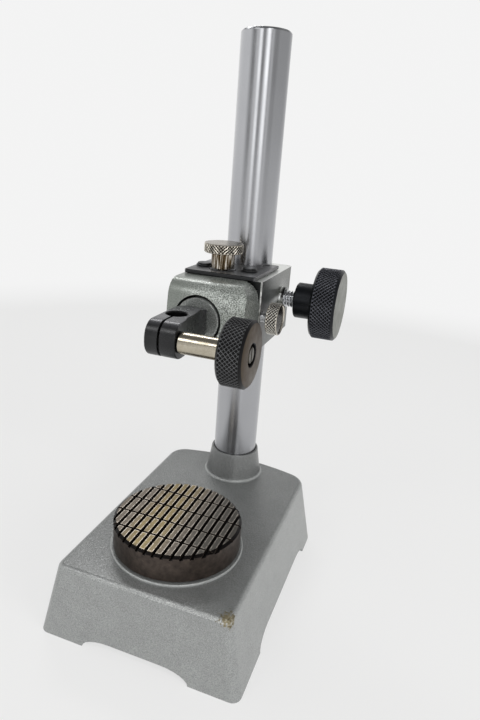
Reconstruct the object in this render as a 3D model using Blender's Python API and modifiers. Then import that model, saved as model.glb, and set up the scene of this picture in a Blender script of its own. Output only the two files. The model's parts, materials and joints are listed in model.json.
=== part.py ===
"""Comparator stand: cast base with a grooved round anvil, a ground column, and a
clamping bracket that carries a finely adjustable split stem clamp.

Metres, +Z up, seen from the front +X is to the right and +Y runs back to the column.
The origin is on the bench, at the middle of the base's footprint.
"""
import math

import bmesh
import bpy
from mathutils import Vector

# Clearances shared by all pieces
SEAT_GAP = 0.0003
OVERRUN = 0.003
MERGE = 0.00002

# Base casting
BASE_WIDTH = 0.1035
BASE_HEIGHT = 0.0383
BASE_SIDE_TAPER = 0.0078
BASE_END_TAPER = 0.0045
BASE_EDGE = 0.0022
BASE_WALL = 0.008
BASE_TOP_WALL = 0.0103
FRONT_CORNER = 0.0045
REAR_CORNER = 0.011
REAR_BOW_RADIUS = 0.13
NOTCH_HEIGHT = 0.0054
FRONT_NOTCH_LENGTH = 0.055
SIDE_NOTCH_LENGTH = 0.0845
NOTCH_RUNOUT = 0.0145

# Places of the anvil and the column on the base
ANVIL_SETBACK = 0.0445
THROAT_DEPTH = 0.0825
COLUMN_SETBACK = 0.0205

# Anvil and the pad it stands on
PAD_RADIUS = 0.0332
PAD_RISE = 0.001
PAD_EDGE = 0.0004
ANVIL_RADIUS = 0.03175
ANVIL_THICKNESS = 0.0138
ANVIL_BEVEL_WIDTH = 0.0015
ANVIL_BEVEL_DEPTH = 0.001
ANVIL_FOOT_CHAMFER = 0.0005
LONG_GROOVE_COUNT = 14
LONG_GROOVE_PITCH = 0.0042
LONG_GROOVE_WIDTH = 0.0016
LONG_GROOVE_DEPTH = 0.0018
CROSS_GROOVE_COUNT = 4
CROSS_GROOVE_PITCH = 0.0122
CROSS_GROOVE_WIDTH = 0.0011
CROSS_GROOVE_DEPTH = 0.0012
ANVIL_HOLE_DEPTH = 0.0085

# Collar and bosses of the base
COLLAR_FOOT_RADIUS = 0.0167
COLLAR_TOP_RADIUS = 0.0142
COLLAR_HEIGHT = 0.0164
COLLAR_FILLET = 0.0016
COLLAR_LIP = 0.0006
COLUMN_BOSS_DROP = 0.0143
ANVIL_BOSS_RADIUS = 0.0135
ANVIL_BOSS_DROP = 0.006

# Column
COLUMN_RADIUS = 0.0127
COLUMN_TOP_HEIGHT = 0.2818
COLUMN_SOCKET_DEPTH = 0.034
COLUMN_CHAMFER = 0.001
COLUMN_THREAD_DEPTH = 0.022

# Hidden screws under the base
COLUMN_BOLT_RADIUS = 0.005
COLUMN_BOLT_HEAD_RADIUS = 0.008
COLUMN_BOLT_HEAD = 0.0057
COLUMN_WASHER_RADIUS = 0.0105
ANVIL_SCREW_RADIUS = 0.004
ANVIL_SCREW_HEAD_RADIUS = 0.0065
ANVIL_SCREW_HEAD = 0.007
ANVIL_WASHER_RADIUS = 0.0085
WASHER_THICKNESS = 0.002
HEX_DEPTH = 0.003
HEX_RADIUS = 0.0035
SCREW_TIP_ROOM = 0.001

# Guide bush between the column and the bracket
BUSH_WALL = 0.002
BUSH_SLIT = 0.0015
BUSH_LIP = 0.0026

# Bracket casting, placed by its reach in front of the column
BRACKET_HALF_WIDTH = 0.0204
BRACKET_LEFT_REACH = 0.021
BRACKET_FRONT_REACH = 0.0607
BRACKET_REAR_REACH = 0.0178
BRACKET_BOTTOM_HEIGHT = 0.131
BRACKET_DEPTH = 0.0354
BRACKET_NOSE_RADIUS = 0.009
BRACKET_NOSE_BULGE = 0.0008
BRACKET_NOSE_BOW = 0.0019
BRACKET_DRAFT_LENGTH = 0.0205
BRACKET_DRAFT = 0.0022
BRACKET_REAR_CORNER = 0.003
BRACKET_EDGE = 0.0008
SHOULDER_INSET = 0.0003
SHOULDER_WIDTH = 0.0065
SHOULDER_DEPTH = 0.0144
SEAM_SETBACK = 0.0198
SEAM_WIDTH = 0.0014
SEAM_DEPTH = 0.0016
SEAM_CHAMFER = 0.0009
SEAM_MOUTH = 0.0036
SEAM_MOUTH_DEPTH = 0.0042
SEAM_MOUTH_RUN = 0.0074

# Top plate and its screws
PLATE_LEFT = 0.0204
PLATE_RIGHT = 0.0174
PLATE_FRONT_REACH = 0.042
PLATE_REAR_REACH = 0.0008
PLATE_THICKNESS = 0.002
PLATE_CORNER = 0.0012
PLATE_EDGE = 0.0003
PLATE_COLUMN_GAP = 0.0006
PLATE_SCREW_LEFT = 0.0154
PLATE_SCREW_RIGHT = 0.0092
PLATE_SCREW_REACH = 0.027
PLATE_SCREW_RADIUS = 0.002
PLATE_SCREW_LENGTH = 0.009
PLATE_SCREW_FLANGE = 0.0044
PLATE_SCREW_FLANGE_RISE = 0.0005
PLATE_SCREW_HEAD = 0.0038
PLATE_SCREW_HEAD_RISE = 0.0014

# Rocking barrel in the nose of the bracket
BARREL_OFFSET = -0.0046
BARREL_RISE = 0.0173
BARREL_RADIUS = 0.011
BARREL_LENGTH = 0.0205
BARREL_GAP = 0.0012
BARREL_BORE_ROOM = 0.0013
BARREL_EDGE = 0.0004
PIVOT_SETBACK = 0.0103
PIVOT_RADIUS = 0.002
PIVOT_PAST_BORE = 0.0045
PIVOT_SINK = 0.0006
TAIL_WIDTH = 0.009
TAIL_HEIGHT = 0.01
TAIL_SOCKET_DEPTH = 0.0068
TAIL_OVERHANG = 0.0042
TAIL_ROOM = 0.0015
TAIL_ROOM_END = 0.0023
TAIL_HEADROOM = 0.0047
TAIL_FLOOR_DEPTH = 0.0088
TAIL_EDGE = 0.0005

# Return spring under the tail
SPRING_RADIUS = 0.0028
SPRING_WIRE = 0.0005
SPRING_TURNS = 4
SPRING_POINTS_PER_TURN = 9

# Fine adjusting screw on top
FINE_OFFSET = -0.004
FINE_REACH = 0.0307
FINE_THREAD_RADIUS = 0.0025
FINE_BUSH_RADIUS = 0.0066
FINE_BUSH_DEPTH = 0.0075
FINE_BUSH_PROUD = 0.0001
FINE_TIP_RADIUS = 0.002
FINE_TIP_HEIGHT = 0.0018
FINE_SHANK_RADIUS = 0.006
FINE_SHANK_HEIGHT = 0.0077
FINE_HEAD_RADIUS = 0.0099
FINE_HEAD_HEIGHT = 0.005
FINE_HEAD_CROWN = 0.0005
FINE_KNOB_LIFT = 0.0008
FINE_EDGE = 0.0006

# Split stem clamp, placed over the anvil
STEM_BORE_RADIUS = 0.00476
STEM_JAW_HEIGHT = 0.0162
STEM_JAW_RISE = 0.0003
STEM_JAW_FRONT = 0.0185
STEM_JAW_LEFT = 0.0066
STEM_JAW_RIGHT = 0.0079
STEM_LOBE_REAR = 0.0078
STEM_LOBE_BLEND = 0.0045
STEM_WAIST = 0.0068
STEM_WAIST_REAR = 0.0056
STEM_ARM_RIGHT = 0.0053
STEM_ARM_LEFT = 0.0064
STEM_ARM_HEIGHT = 0.0118
STEM_ARM_BLEND_SHARE = 0.4
STEM_NOSE_RADIUS = 0.007
STEM_EDGE = 0.0006
STEM_SLIT = 0.0011
STEM_SPIGOT_RADIUS = 0.004
STEM_SPIGOT_LENGTH = 0.006
STEM_BORE_CHAMFER = 0.0005

# Screw, sleeve and knob that close the stem clamp
STEM_SCREW_SETBACK = 0.013
STEM_SCREW_RADIUS = 0.003
STEM_SCREW_BLIND = 0.0016
STEM_SLEEVE_RADIUS = 0.00475
STEM_SLEEVE_LENGTH = 0.0203
STEM_SLEEVE_CHAMFER = 0.0003
STEM_KNOB_RADIUS = 0.0143
STEM_KNOB_WIDTH = 0.011
STEM_KNOB_CHAMFER = 0.001
STEM_KNOB_RECESS_RADIUS = 0.0049
STEM_KNOB_RECESS_DEPTH = 0.0026
STEM_END_RADIUS = 0.0035
STEM_END_HEIGHT = 0.0012
STEM_END_SLOT = 0.0009
STEM_END_SLOT_DEPTH = 0.0007
STEM_CLIP_RADIUS = 0.0045
STEM_CLIP_THICKNESS = 0.0006
STEM_CLIP_GAP = 0.0024

# Locking thumb screw on the right of the bracket
LOCK_REACH = 0.0355
LOCK_RADIUS = 0.0025
LOCK_TIP_RADIUS = 0.002
LOCK_TIP_LENGTH = 0.002
LOCK_HEAD_RADIUS = 0.008
LOCK_HEAD_WIDTH = 0.0058
LOCK_HEAD_STANDOFF = 0.004
LOCK_HEAD_DISH = 0.0005
LOCK_RIM = 0.0009
LOCK_EDGE = 0.0005

# Column clamping screw on the right of the bracket
CLAMP_RISE = 0.0202
CLAMP_STUD_RADIUS = 0.00465
CLAMP_BOSS_RADIUS = 0.0058
CLAMP_BOSS_RISE = 0.0021
CLAMP_BOSS_FILLET = 0.0042
CLAMP_BOSS_ROOT = 0.002
CLAMP_PAD_RADIUS = 0.0038
CLAMP_PAD_LENGTH = 0.002
CLAMP_HUB_RADIUS = 0.0096
CLAMP_HUB_STANDOFF = 0.0087
CLAMP_HUB_LENGTH = 0.0107
CLAMP_STUD_SEAT = 0.008
CLAMP_HEAD_RADIUS = 0.01905
CLAMP_HEAD_WIDTH = 0.0133
CLAMP_HEAD_CHAMFER = 0.0012
CLAMP_HUB_CHAMFER = 0.0006

# Facets round a full turn
FINE_STEPS = 72
ROUND_STEPS = 48
SMALL_STEPS = 24
CORNER_STEPS = 6
BOW_STEPS = 12
SHARP_ANGLE = math.radians(32.0)

# Places worked out from the sizes above
BASE_LENGTH = ANVIL_SETBACK + THROAT_DEPTH + COLUMN_SETBACK
ANVIL_Y = ANVIL_SETBACK - BASE_LENGTH / 2
COLUMN_Y = ANVIL_Y + THROAT_DEPTH
BASE_CEILING = BASE_HEIGHT - BASE_TOP_WALL
PAD_HEIGHT = BASE_HEIGHT + PAD_RISE
ANVIL_FOOT = PAD_HEIGHT + SEAT_GAP
ANVIL_FACE = ANVIL_FOOT + ANVIL_THICKNESS
COLLAR_TOP = BASE_HEIGHT + COLLAR_HEIGHT
COLUMN_SEAT = COLLAR_TOP - COLUMN_SOCKET_DEPTH
COLUMN_FOOT = COLUMN_SEAT + SEAT_GAP
COLUMN_BOSS_FOOT = BASE_CEILING - COLUMN_BOSS_DROP
ANVIL_BOSS_FOOT = BASE_CEILING - ANVIL_BOSS_DROP
BUSH_INNER = COLUMN_RADIUS + SEAT_GAP
BUSH_OUTER = BUSH_INNER + BUSH_WALL
BRACKET_BORE = BUSH_OUTER + SEAT_GAP
BRACKET_FRONT_Y = COLUMN_Y - BRACKET_FRONT_REACH
BRACKET_REAR_Y = COLUMN_Y + BRACKET_REAR_REACH
BRACKET_TOP_HEIGHT = BRACKET_BOTTOM_HEIGHT + BRACKET_DEPTH
BRACKET_MIDDLE = (BRACKET_BOTTOM_HEIGHT + BRACKET_TOP_HEIGHT) / 2
BARREL_HEIGHT = BRACKET_BOTTOM_HEIGHT + BARREL_RISE
CLAMP_HEIGHT = BRACKET_BOTTOM_HEIGHT + CLAMP_RISE
PLATE_BOTTOM = BRACKET_TOP_HEIGHT + SEAT_GAP
PLATE_TOP = PLATE_BOTTOM + PLATE_THICKNESS
PLATE_FRONT_Y = COLUMN_Y - PLATE_FRONT_REACH
PLATE_REAR_Y = COLUMN_Y - PLATE_REAR_REACH
BARREL_FACE_Y = BRACKET_FRONT_Y + SEAT_GAP
BARREL_REAR_Y = BARREL_FACE_Y + BARREL_LENGTH
BARREL_BORE = BARREL_RADIUS + BARREL_GAP
BARREL_BORE_END_Y = BARREL_REAR_Y + BARREL_BORE_ROOM
PIVOT_Y = BARREL_FACE_Y + PIVOT_SETBACK
FINE_Y = COLUMN_Y - FINE_REACH
TAIL_END_Y = FINE_Y + TAIL_OVERHANG
TAIL_TOP = BARREL_HEIGHT + TAIL_HEIGHT / 2
TAIL_BOTTOM = BARREL_HEIGHT - TAIL_HEIGHT / 2
TAIL_POCKET_TOP = TAIL_TOP + TAIL_HEADROOM
TAIL_POCKET_FLOOR = TAIL_BOTTOM - TAIL_FLOOR_DEPTH
TAIL_RIGHT = BARREL_OFFSET + TAIL_WIDTH / 2
TAIL_POCKET_HALF = TAIL_WIDTH / 2 + TAIL_ROOM
FINE_TIP_FOOT = TAIL_TOP + SEAT_GAP
FINE_TIP_TOP = FINE_TIP_FOOT + FINE_TIP_HEIGHT
FINE_BUSH_TOP = PLATE_TOP + FINE_BUSH_PROUD
FINE_KNOB_FOOT = FINE_BUSH_TOP + FINE_KNOB_LIFT
STEM_X = BARREL_OFFSET
STEM_Y = ANVIL_Y
STEM_MIDDLE = BARREL_HEIGHT + STEM_JAW_RISE
STEM_TOP = STEM_MIDDLE + STEM_JAW_HEIGHT / 2
STEM_BOTTOM = STEM_MIDDLE - STEM_JAW_HEIGHT / 2
STEM_ARM_END_Y = BARREL_FACE_Y - SEAT_GAP
STEM_SCREW_Y = STEM_Y - STEM_SCREW_SETBACK
STEM_JAW_RIGHT_X = STEM_X + STEM_JAW_RIGHT
STEM_SLEEVE_X = STEM_JAW_RIGHT_X + SEAT_GAP
STEM_KNOB_X = STEM_SLEEVE_X + STEM_SLEEVE_LENGTH + SEAT_GAP
STEM_KNOB_END_X = STEM_KNOB_X + STEM_KNOB_WIDTH
STEM_RECESS_X = STEM_KNOB_END_X - STEM_KNOB_RECESS_DEPTH
LOCK_Y = COLUMN_Y - LOCK_REACH
LOCK_TIP_X = TAIL_RIGHT + SEAT_GAP
LOCK_STEM_X = LOCK_TIP_X + LOCK_TIP_LENGTH + SEAT_GAP
LOCK_HEAD_X = BRACKET_HALF_WIDTH + LOCK_HEAD_STANDOFF
CLAMP_BOSS_X = BRACKET_HALF_WIDTH + CLAMP_BOSS_RISE
CLAMP_PAD_X = BUSH_OUTER + SEAT_GAP
CLAMP_STUD_X = CLAMP_PAD_X + CLAMP_PAD_LENGTH + SEAT_GAP
CLAMP_HUB_X = BRACKET_HALF_WIDTH + CLAMP_HUB_STANDOFF
CLAMP_HEAD_X = CLAMP_HUB_X + CLAMP_HUB_LENGTH
CLAMP_END_X = CLAMP_HEAD_X + CLAMP_HEAD_WIDTH

TURN_TO_X = (0.0, math.radians(90.0), 0.0)
TURN_TO_Y = (math.radians(-90.0), 0.0, 0.0)
UPRIGHT = (0.0, 0.0, 0.0)


def clear_scene():
    for old in list(bpy.data.objects):
        bpy.data.objects.remove(old, do_unlink=True)


def collection(name):
    group = bpy.data.collections.new(name)
    bpy.context.scene.collection.children.link(group)
    return group


clear_scene()
STAND = collection("comparator_stand")
CUTTERS = collection("cutters")


def finish_material(name, colour, roughness, metallic):
    made = bpy.data.materials.new(name)
    made.use_nodes = True
    shader = made.node_tree.nodes["Principled BSDF"]
    shader.inputs["Base Color"].default_value = (*colour, 1.0)
    shader.inputs["Roughness"].default_value = roughness
    shader.inputs["Metallic"].default_value = metallic
    made.diffuse_color = (*colour, 1.0)
    return made


HAMMERED = finish_material("hammered_paint", (0.27, 0.28, 0.27), 0.45, 0.3)
GROUND_STEEL = finish_material("ground_steel", (0.56, 0.57, 0.58), 0.25, 1.0)
ANVIL_STEEL = finish_material("hardened_steel", (0.09, 0.075, 0.065), 0.4, 0.8)
BLACK_OXIDE = finish_material("black_oxide", (0.02, 0.02, 0.022), 0.45, 0.4)
NICKEL = finish_material("nickel_plate", (0.62, 0.58, 0.5), 0.28, 1.0)
ZINC_STEEL = finish_material("zinc_plated_steel", (0.5, 0.5, 0.5), 0.35, 1.0)
BRONZE = finish_material("bronze", (0.5, 0.34, 0.16), 0.4, 1.0)
SPRING_STEEL = finish_material("spring_steel", (0.35, 0.35, 0.36), 0.35, 1.0)


def frame_empty(name, place, parent=None):
    """An empty on a joint's axis, for the pieces that move together."""
    empty = bpy.data.objects.new(name, None)
    STAND.objects.link(empty)
    attach(empty, place, parent)
    return empty


def attach(thing, place, parent):
    thing.location = Vector(place)
    above = parent
    while above is not None:
        thing.location -= above.location
        above = above.parent
    thing.parent = parent


def add_object(name, mesh, group, place, turn, parent=None):
    made = bpy.data.objects.new(name, mesh)
    group.objects.link(made)
    attach(made, place, parent)
    made.rotation_euler = turn
    return made


def as_piece(made, material):
    """Gives a finished sub-part its material and smooth shading with sharp edges."""
    made.data.materials.append(material)
    made.data.shade_smooth()
    made.data.set_sharp_from_angle(angle=SHARP_ANGLE)
    return made


def as_cutter(made):
    made.hide_render = True
    made.display_type = "WIRE"
    return made


def mesh_from(name, build):
    """Runs one bmesh recipe and keeps its result as a mesh."""
    shape = bmesh.new()
    build(shape)
    bmesh.ops.recalc_face_normals(shape, faces=shape.faces)
    mesh = bpy.data.meshes.new(name)
    shape.to_mesh(mesh)
    shape.free()
    return mesh


def turned(name, outline, group, place, turn=UPRIGHT, parent=None, steps=ROUND_STEPS, ring=False):
    """A turned piece: (radius, height) points down its outer side, spun by a Screw modifier.

    A ring's outline closes on itself; any other outline starts and ends on the axis.
    """
    mesh = bpy.data.meshes.new(name)
    points = [(radius, 0.0, height) for radius, height in outline]
    edges = [(i, i + 1) for i in range(len(points) - 1)]
    if ring:
        edges.append((len(points) - 1, 0))
    mesh.from_pydata(points, edges, [])
    made = add_object(name, mesh, group, place, turn, parent)
    spin = made.modifiers.new("turn", "SCREW")
    spin.axis = "Z"
    spin.steps = steps
    spin.render_steps = steps
    spin.use_merge_vertices = True
    spin.merge_threshold = MERGE
    spin.use_smooth_shade = True
    return made


def rod(name, radius, low, high, group, place, turn=UPRIGHT, parent=None, steps=SMALL_STEPS):
    """A plain cylinder from low to high along its own axis."""

    def build(shape):
        made = bmesh.ops.create_cone(
            shape, cap_ends=True, segments=steps, radius1=radius, radius2=radius, depth=high - low)
        bmesh.ops.translate(shape, verts=made["verts"], vec=(0.0, 0.0, (low + high) / 2))

    return add_object(name, mesh_from(name, build), group, place, turn, parent)


def block(name, low, high, group, place=(0.0, 0.0, 0.0), parent=None):
    """A box between two corners, given from the piece's own place."""
    low, high = Vector(low), Vector(high)

    def build(shape):
        made = bmesh.ops.create_cube(shape, size=1.0)
        bmesh.ops.scale(shape, verts=made["verts"], vec=high - low)
        bmesh.ops.translate(shape, verts=made["verts"], vec=(low + high) / 2)

    return add_object(name, mesh_from(name, build), group, place, UPRIGHT, parent)


def blocks(name, boxes, group, place):
    """Several separate boxes in one mesh, for a row of equal cuts."""

    def build(shape):
        for low, high in boxes:
            low, high = Vector(low), Vector(high)
            made = bmesh.ops.create_cube(shape, size=1.0)
            bmesh.ops.scale(shape, verts=made["verts"], vec=high - low)
            bmesh.ops.translate(shape, verts=made["verts"], vec=(low + high) / 2)

    return add_object(name, mesh_from(name, build), group, place, UPRIGHT)


def prism(name, outline, axis, low, high, group, place=(0.0, 0.0, 0.0), parent=None):
    """A flat outline drawn square to X, Y or Z and extruded along it from low to high."""
    spots = {
        "X": lambda a, b: (low, a, b),
        "Y": lambda a, b: (a, low, b),
        "Z": lambda a, b: (a, b, low),
    }
    along = {"X": (high - low, 0.0, 0.0), "Y": (0.0, high - low, 0.0), "Z": (0.0, 0.0, high - low)}

    def build(shape):
        face = shape.faces.new([shape.verts.new(spots[axis](a, b)) for a, b in outline])
        grown = bmesh.ops.extrude_face_region(shape, geom=[face])
        moved = [v for v in grown["geom"] if isinstance(v, bmesh.types.BMVert)]
        bmesh.ops.translate(shape, verts=moved, vec=along[axis])

    return add_object(name, mesh_from(name, build), group, place, UPRIGHT, parent)


def loft(name, rings, group, place=(0.0, 0.0, 0.0), parent=None):
    """A skin over successive closed rings with equal numbers of points, capped at both ends."""

    def build(shape):
        rows = [[shape.verts.new(point) for point in ring] for ring in rings]
        for lower, upper in zip(rows, rows[1:]):
            for i in range(len(lower)):
                j = (i + 1) % len(lower)
                shape.faces.new((lower[i], lower[j], upper[j], upper[i]))
        shape.faces.new(rows[0])
        shape.faces.new(rows[-1])

    return add_object(name, mesh_from(name, build), group, place, UPRIGHT, parent)


def arc(centre_a, centre_b, radius, start, end, steps):
    """Points along an arc, angles in degrees from the first axis."""
    points = []
    for i in range(steps + 1):
        angle = math.radians(start + (end - start) * i / steps)
        points.append((centre_a + radius * math.cos(angle), centre_b + radius * math.sin(angle)))
    return points


def combine(made, operand, operation):
    step = made.modifiers.new(operation.lower() + "_" + operand.name, "BOOLEAN")
    step.operation = operation
    step.object = operand
    step.solver = "EXACT"
    as_cutter(operand)
    return made


def cut(made, *operands):
    for operand in operands:
        combine(made, operand, "DIFFERENCE")
    return made


def join(made, *operands):
    for operand in operands:
        combine(made, operand, "UNION")
    return made


def soften(made, width, segments=2, angle=35.0):
    step = made.modifiers.new("edges", "BEVEL")
    step.width = width
    step.segments = segments
    step.limit_method = "ANGLE"
    step.angle_limit = math.radians(angle)
    step.miter_outer = "MITER_ARC"
    return made


def hole(name, radius, low, high, place, turn=UPRIGHT, steps=SMALL_STEPS):
    return rod(name, radius, low, high, CUTTERS, place, turn, steps=steps)


# Base

def base_ring(height, inset):
    """The base's outline at one height: straight front and sides, bowed rear, round corners."""
    share = height / BASE_HEIGHT
    half = BASE_WIDTH / 2 - BASE_SIDE_TAPER * share - inset
    front = BASE_END_TAPER * share + inset - BASE_LENGTH / 2
    rear = BASE_LENGTH / 2 - BASE_END_TAPER * share - inset
    front_radius = max(FRONT_CORNER - inset, SEAT_GAP)
    rear_radius = max(REAR_CORNER - inset, SEAT_GAP)
    bow = REAR_BOW_RADIUS - inset
    bow_centre = rear - bow
    corner_x = half - rear_radius
    corner_y = bow_centre + math.sqrt((bow - rear_radius) ** 2 - corner_x ** 2)
    swing = math.degrees(math.atan2(corner_y - bow_centre, corner_x))
    front_x = half - front_radius
    front_y = front + front_radius
    points = arc(-front_x, front_y, front_radius, 180.0, 270.0, CORNER_STEPS)
    points += arc(front_x, front_y, front_radius, 270.0, 360.0, CORNER_STEPS)
    points += arc(corner_x, corner_y, rear_radius, 0.0, swing, CORNER_STEPS)
    points += arc(0.0, bow_centre, bow, swing, 180.0 - swing, BOW_STEPS)[1:-1]
    points += arc(-corner_x, corner_y, rear_radius, 180.0 - swing, 180.0, CORNER_STEPS)
    return [(x, y, height) for x, y in points]


def base_body():
    rings = [base_ring(0.0, 0.0)]
    for i in range(CORNER_STEPS):
        angle = math.radians(90.0 * i / (CORNER_STEPS - 1))
        height = BASE_HEIGHT - BASE_EDGE * (1.0 - math.sin(angle))
        rings.append(base_ring(height, BASE_EDGE * (1.0 - math.cos(angle))))
    return loft("base_casting", rings, STAND)


def base_hollow():
    return loft("base_hollow", [base_ring(-OVERRUN, BASE_WALL), base_ring(BASE_CEILING, BASE_WALL)],
                CUTTERS)


def notch_outline(length):
    """A low arch: flat in the middle, running out to the bench in a quarter ellipse each end."""
    flat = length / 2 - NOTCH_RUNOUT
    right, left = [], []
    for i in range(CORNER_STEPS + 1):
        angle = math.radians(90.0 * i / CORNER_STEPS)
        x = flat + NOTCH_RUNOUT * math.cos(angle)
        right.append((x, NOTCH_HEIGHT * math.sin(angle)))
        left.append((-x, NOTCH_HEIGHT * math.sin(angle)))
    return [(-length / 2, -OVERRUN), (length / 2, -OVERRUN)] + right + left[::-1]


def collar_profile():
    """Tapered collar with a rounded lip on top, running down into the boss inside the base."""
    lip = arc(COLLAR_TOP_RADIUS - COLLAR_LIP, COLLAR_TOP - COLLAR_LIP, COLLAR_LIP, 90.0, 0.0, 3)
    return [(0.0, COLLAR_TOP)] + lip + [(COLLAR_FOOT_RADIUS, BASE_HEIGHT),
                                        (COLLAR_FOOT_RADIUS, COLUMN_BOSS_FOOT), (0.0, COLUMN_BOSS_FOOT)]


def collar_fillet_profile():
    """Small fillet between the collar and the top of the base."""
    foot = arc(COLLAR_FOOT_RADIUS + COLLAR_FILLET, BASE_HEIGHT + COLLAR_FILLET, COLLAR_FILLET,
               180.0, 258.0, 4)
    edge = foot[-1][0]
    inner = COLLAR_FOOT_RADIUS - COLLAR_FILLET
    return [(inner, BASE_HEIGHT + COLLAR_FILLET)] + foot + [(edge, BASE_HEIGHT - OVERRUN),
                                                            (inner, BASE_HEIGHT - OVERRUN)]


def collar_fillet(spot):
    """The fillet stops where the collar reaches the base's rear edge."""
    ring = turned("collar_fillet", collar_fillet_profile(), CUTTERS, spot, ring=True)
    plan = [(x, y) for x, y, _ in base_ring(BASE_HEIGHT, BASE_EDGE)]
    combine(ring, prism("collar_fillet_plan", plan, "Z", BASE_HEIGHT - 2 * OVERRUN, COLLAR_TOP, CUTTERS),
            "INTERSECT")
    return ring


def column_socket_profile():
    """Stepped hole: the column's socket above, the bolt's hole below."""
    socket, bolt = COLUMN_RADIUS + SEAT_GAP, COLUMN_BOLT_RADIUS + SEAT_GAP
    return [(0.0, COLLAR_TOP + OVERRUN), (socket, COLLAR_TOP + OVERRUN), (socket, COLUMN_SEAT),
            (bolt, COLUMN_SEAT), (bolt, 0.0), (0.0, 0.0)]


def pad_profile():
    return [(0.0, PAD_HEIGHT), (PAD_RADIUS - PAD_EDGE, PAD_HEIGHT), (PAD_RADIUS, PAD_HEIGHT - PAD_EDGE),
            (PAD_RADIUS + PAD_EDGE, BASE_HEIGHT - OVERRUN), (0.0, BASE_HEIGHT - OVERRUN)]


def make_base(parent):
    anvil_spot = (0.0, ANVIL_Y, 0.0)
    column_spot = (0.0, COLUMN_Y, 0.0)
    reach = BASE_LENGTH / 2 + OVERRUN
    side = BASE_WIDTH / 2 + OVERRUN
    body = base_body()
    cut(body, base_hollow())
    join(body,
         rod("anvil_boss", ANVIL_BOSS_RADIUS, ANVIL_BOSS_FOOT, BASE_CEILING + OVERRUN, CUTTERS,
             anvil_spot, steps=ROUND_STEPS),
         turned("collar", collar_profile(), CUTTERS, column_spot),
         collar_fillet(column_spot),
         turned("anvil_pad", pad_profile(), CUTTERS, anvil_spot, steps=FINE_STEPS))
    cut(body,
        hole("anvil_screw_hole", ANVIL_SCREW_RADIUS + SEAT_GAP, 0.0, PAD_HEIGHT + OVERRUN, anvil_spot),
        prism("end_notches", notch_outline(FRONT_NOTCH_LENGTH), "Y", -reach, reach, CUTTERS),
        prism("side_notches", notch_outline(SIDE_NOTCH_LENGTH), "X", -side, side, CUTTERS),
        turned("column_socket", column_socket_profile(), CUTTERS, column_spot))
    body.parent = parent
    return as_piece(body, HAMMERED)


def headed_screw(name, radius, tip, head_radius, head, head_top, place, parent):
    """A socket screw from below: its head hangs under head_top and its shank rises to tip."""
    foot = head_top - head
    profile = [(0.0, tip), (radius - SEAT_GAP, tip), (radius, tip - SEAT_GAP), (radius, head_top),
               (head_radius, head_top), (head_radius, foot), (0.0, foot)]
    made = turned(name, profile, STAND, place, parent=parent, steps=SMALL_STEPS)
    cut(made, hole(name + "_hex", HEX_RADIUS, foot - OVERRUN, foot + HEX_DEPTH, place, steps=6))
    return as_piece(made, ZINC_STEEL)


def washer(name, bore, radius, top, place, parent):
    low = top - WASHER_THICKNESS
    profile = [(bore, top), (radius, top), (radius, low), (bore, low)]
    made = turned(name, profile, STAND, place, parent=parent, steps=SMALL_STEPS, ring=True)
    return as_piece(made, ZINC_STEEL)


def make_base_screws(parent):
    column_spot = (0.0, COLUMN_Y, 0.0)
    anvil_spot = (0.0, ANVIL_Y, 0.0)
    washer_top = COLUMN_BOSS_FOOT - SEAT_GAP
    washer("column_washer", COLUMN_BOLT_RADIUS + SEAT_GAP, COLUMN_WASHER_RADIUS, washer_top,
           column_spot, parent)
    headed_screw("column_bolt", COLUMN_BOLT_RADIUS, COLUMN_FOOT + COLUMN_THREAD_DEPTH - SCREW_TIP_ROOM,
                 COLUMN_BOLT_HEAD_RADIUS, COLUMN_BOLT_HEAD, washer_top - WASHER_THICKNESS - SEAT_GAP,
                 column_spot, parent)
    washer_top = ANVIL_BOSS_FOOT - SEAT_GAP
    washer("anvil_washer", ANVIL_SCREW_RADIUS + SEAT_GAP, ANVIL_WASHER_RADIUS, washer_top,
           anvil_spot, parent)
    headed_screw("anvil_screw", ANVIL_SCREW_RADIUS, ANVIL_FOOT + ANVIL_HOLE_DEPTH - SCREW_TIP_ROOM,
                 ANVIL_SCREW_HEAD_RADIUS, ANVIL_SCREW_HEAD, washer_top - WASHER_THICKNESS - SEAT_GAP,
                 anvil_spot, parent)


# Anvil

def groove_boxes(count, pitch, width, depth, along_y):
    """Equal bars set symmetrically about the anvil's centre, open at the top and the rim."""
    reach = ANVIL_RADIUS + OVERRUN
    boxes = []
    for i in range(count):
        middle = pitch * (i - (count - 1) / 2)
        low, high = middle - width / 2, middle + width / 2
        if along_y:
            boxes.append(((low, -reach, -depth), (high, reach, OVERRUN)))
        else:
            boxes.append(((-reach, low, -depth), (reach, high, OVERRUN)))
    return boxes


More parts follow.
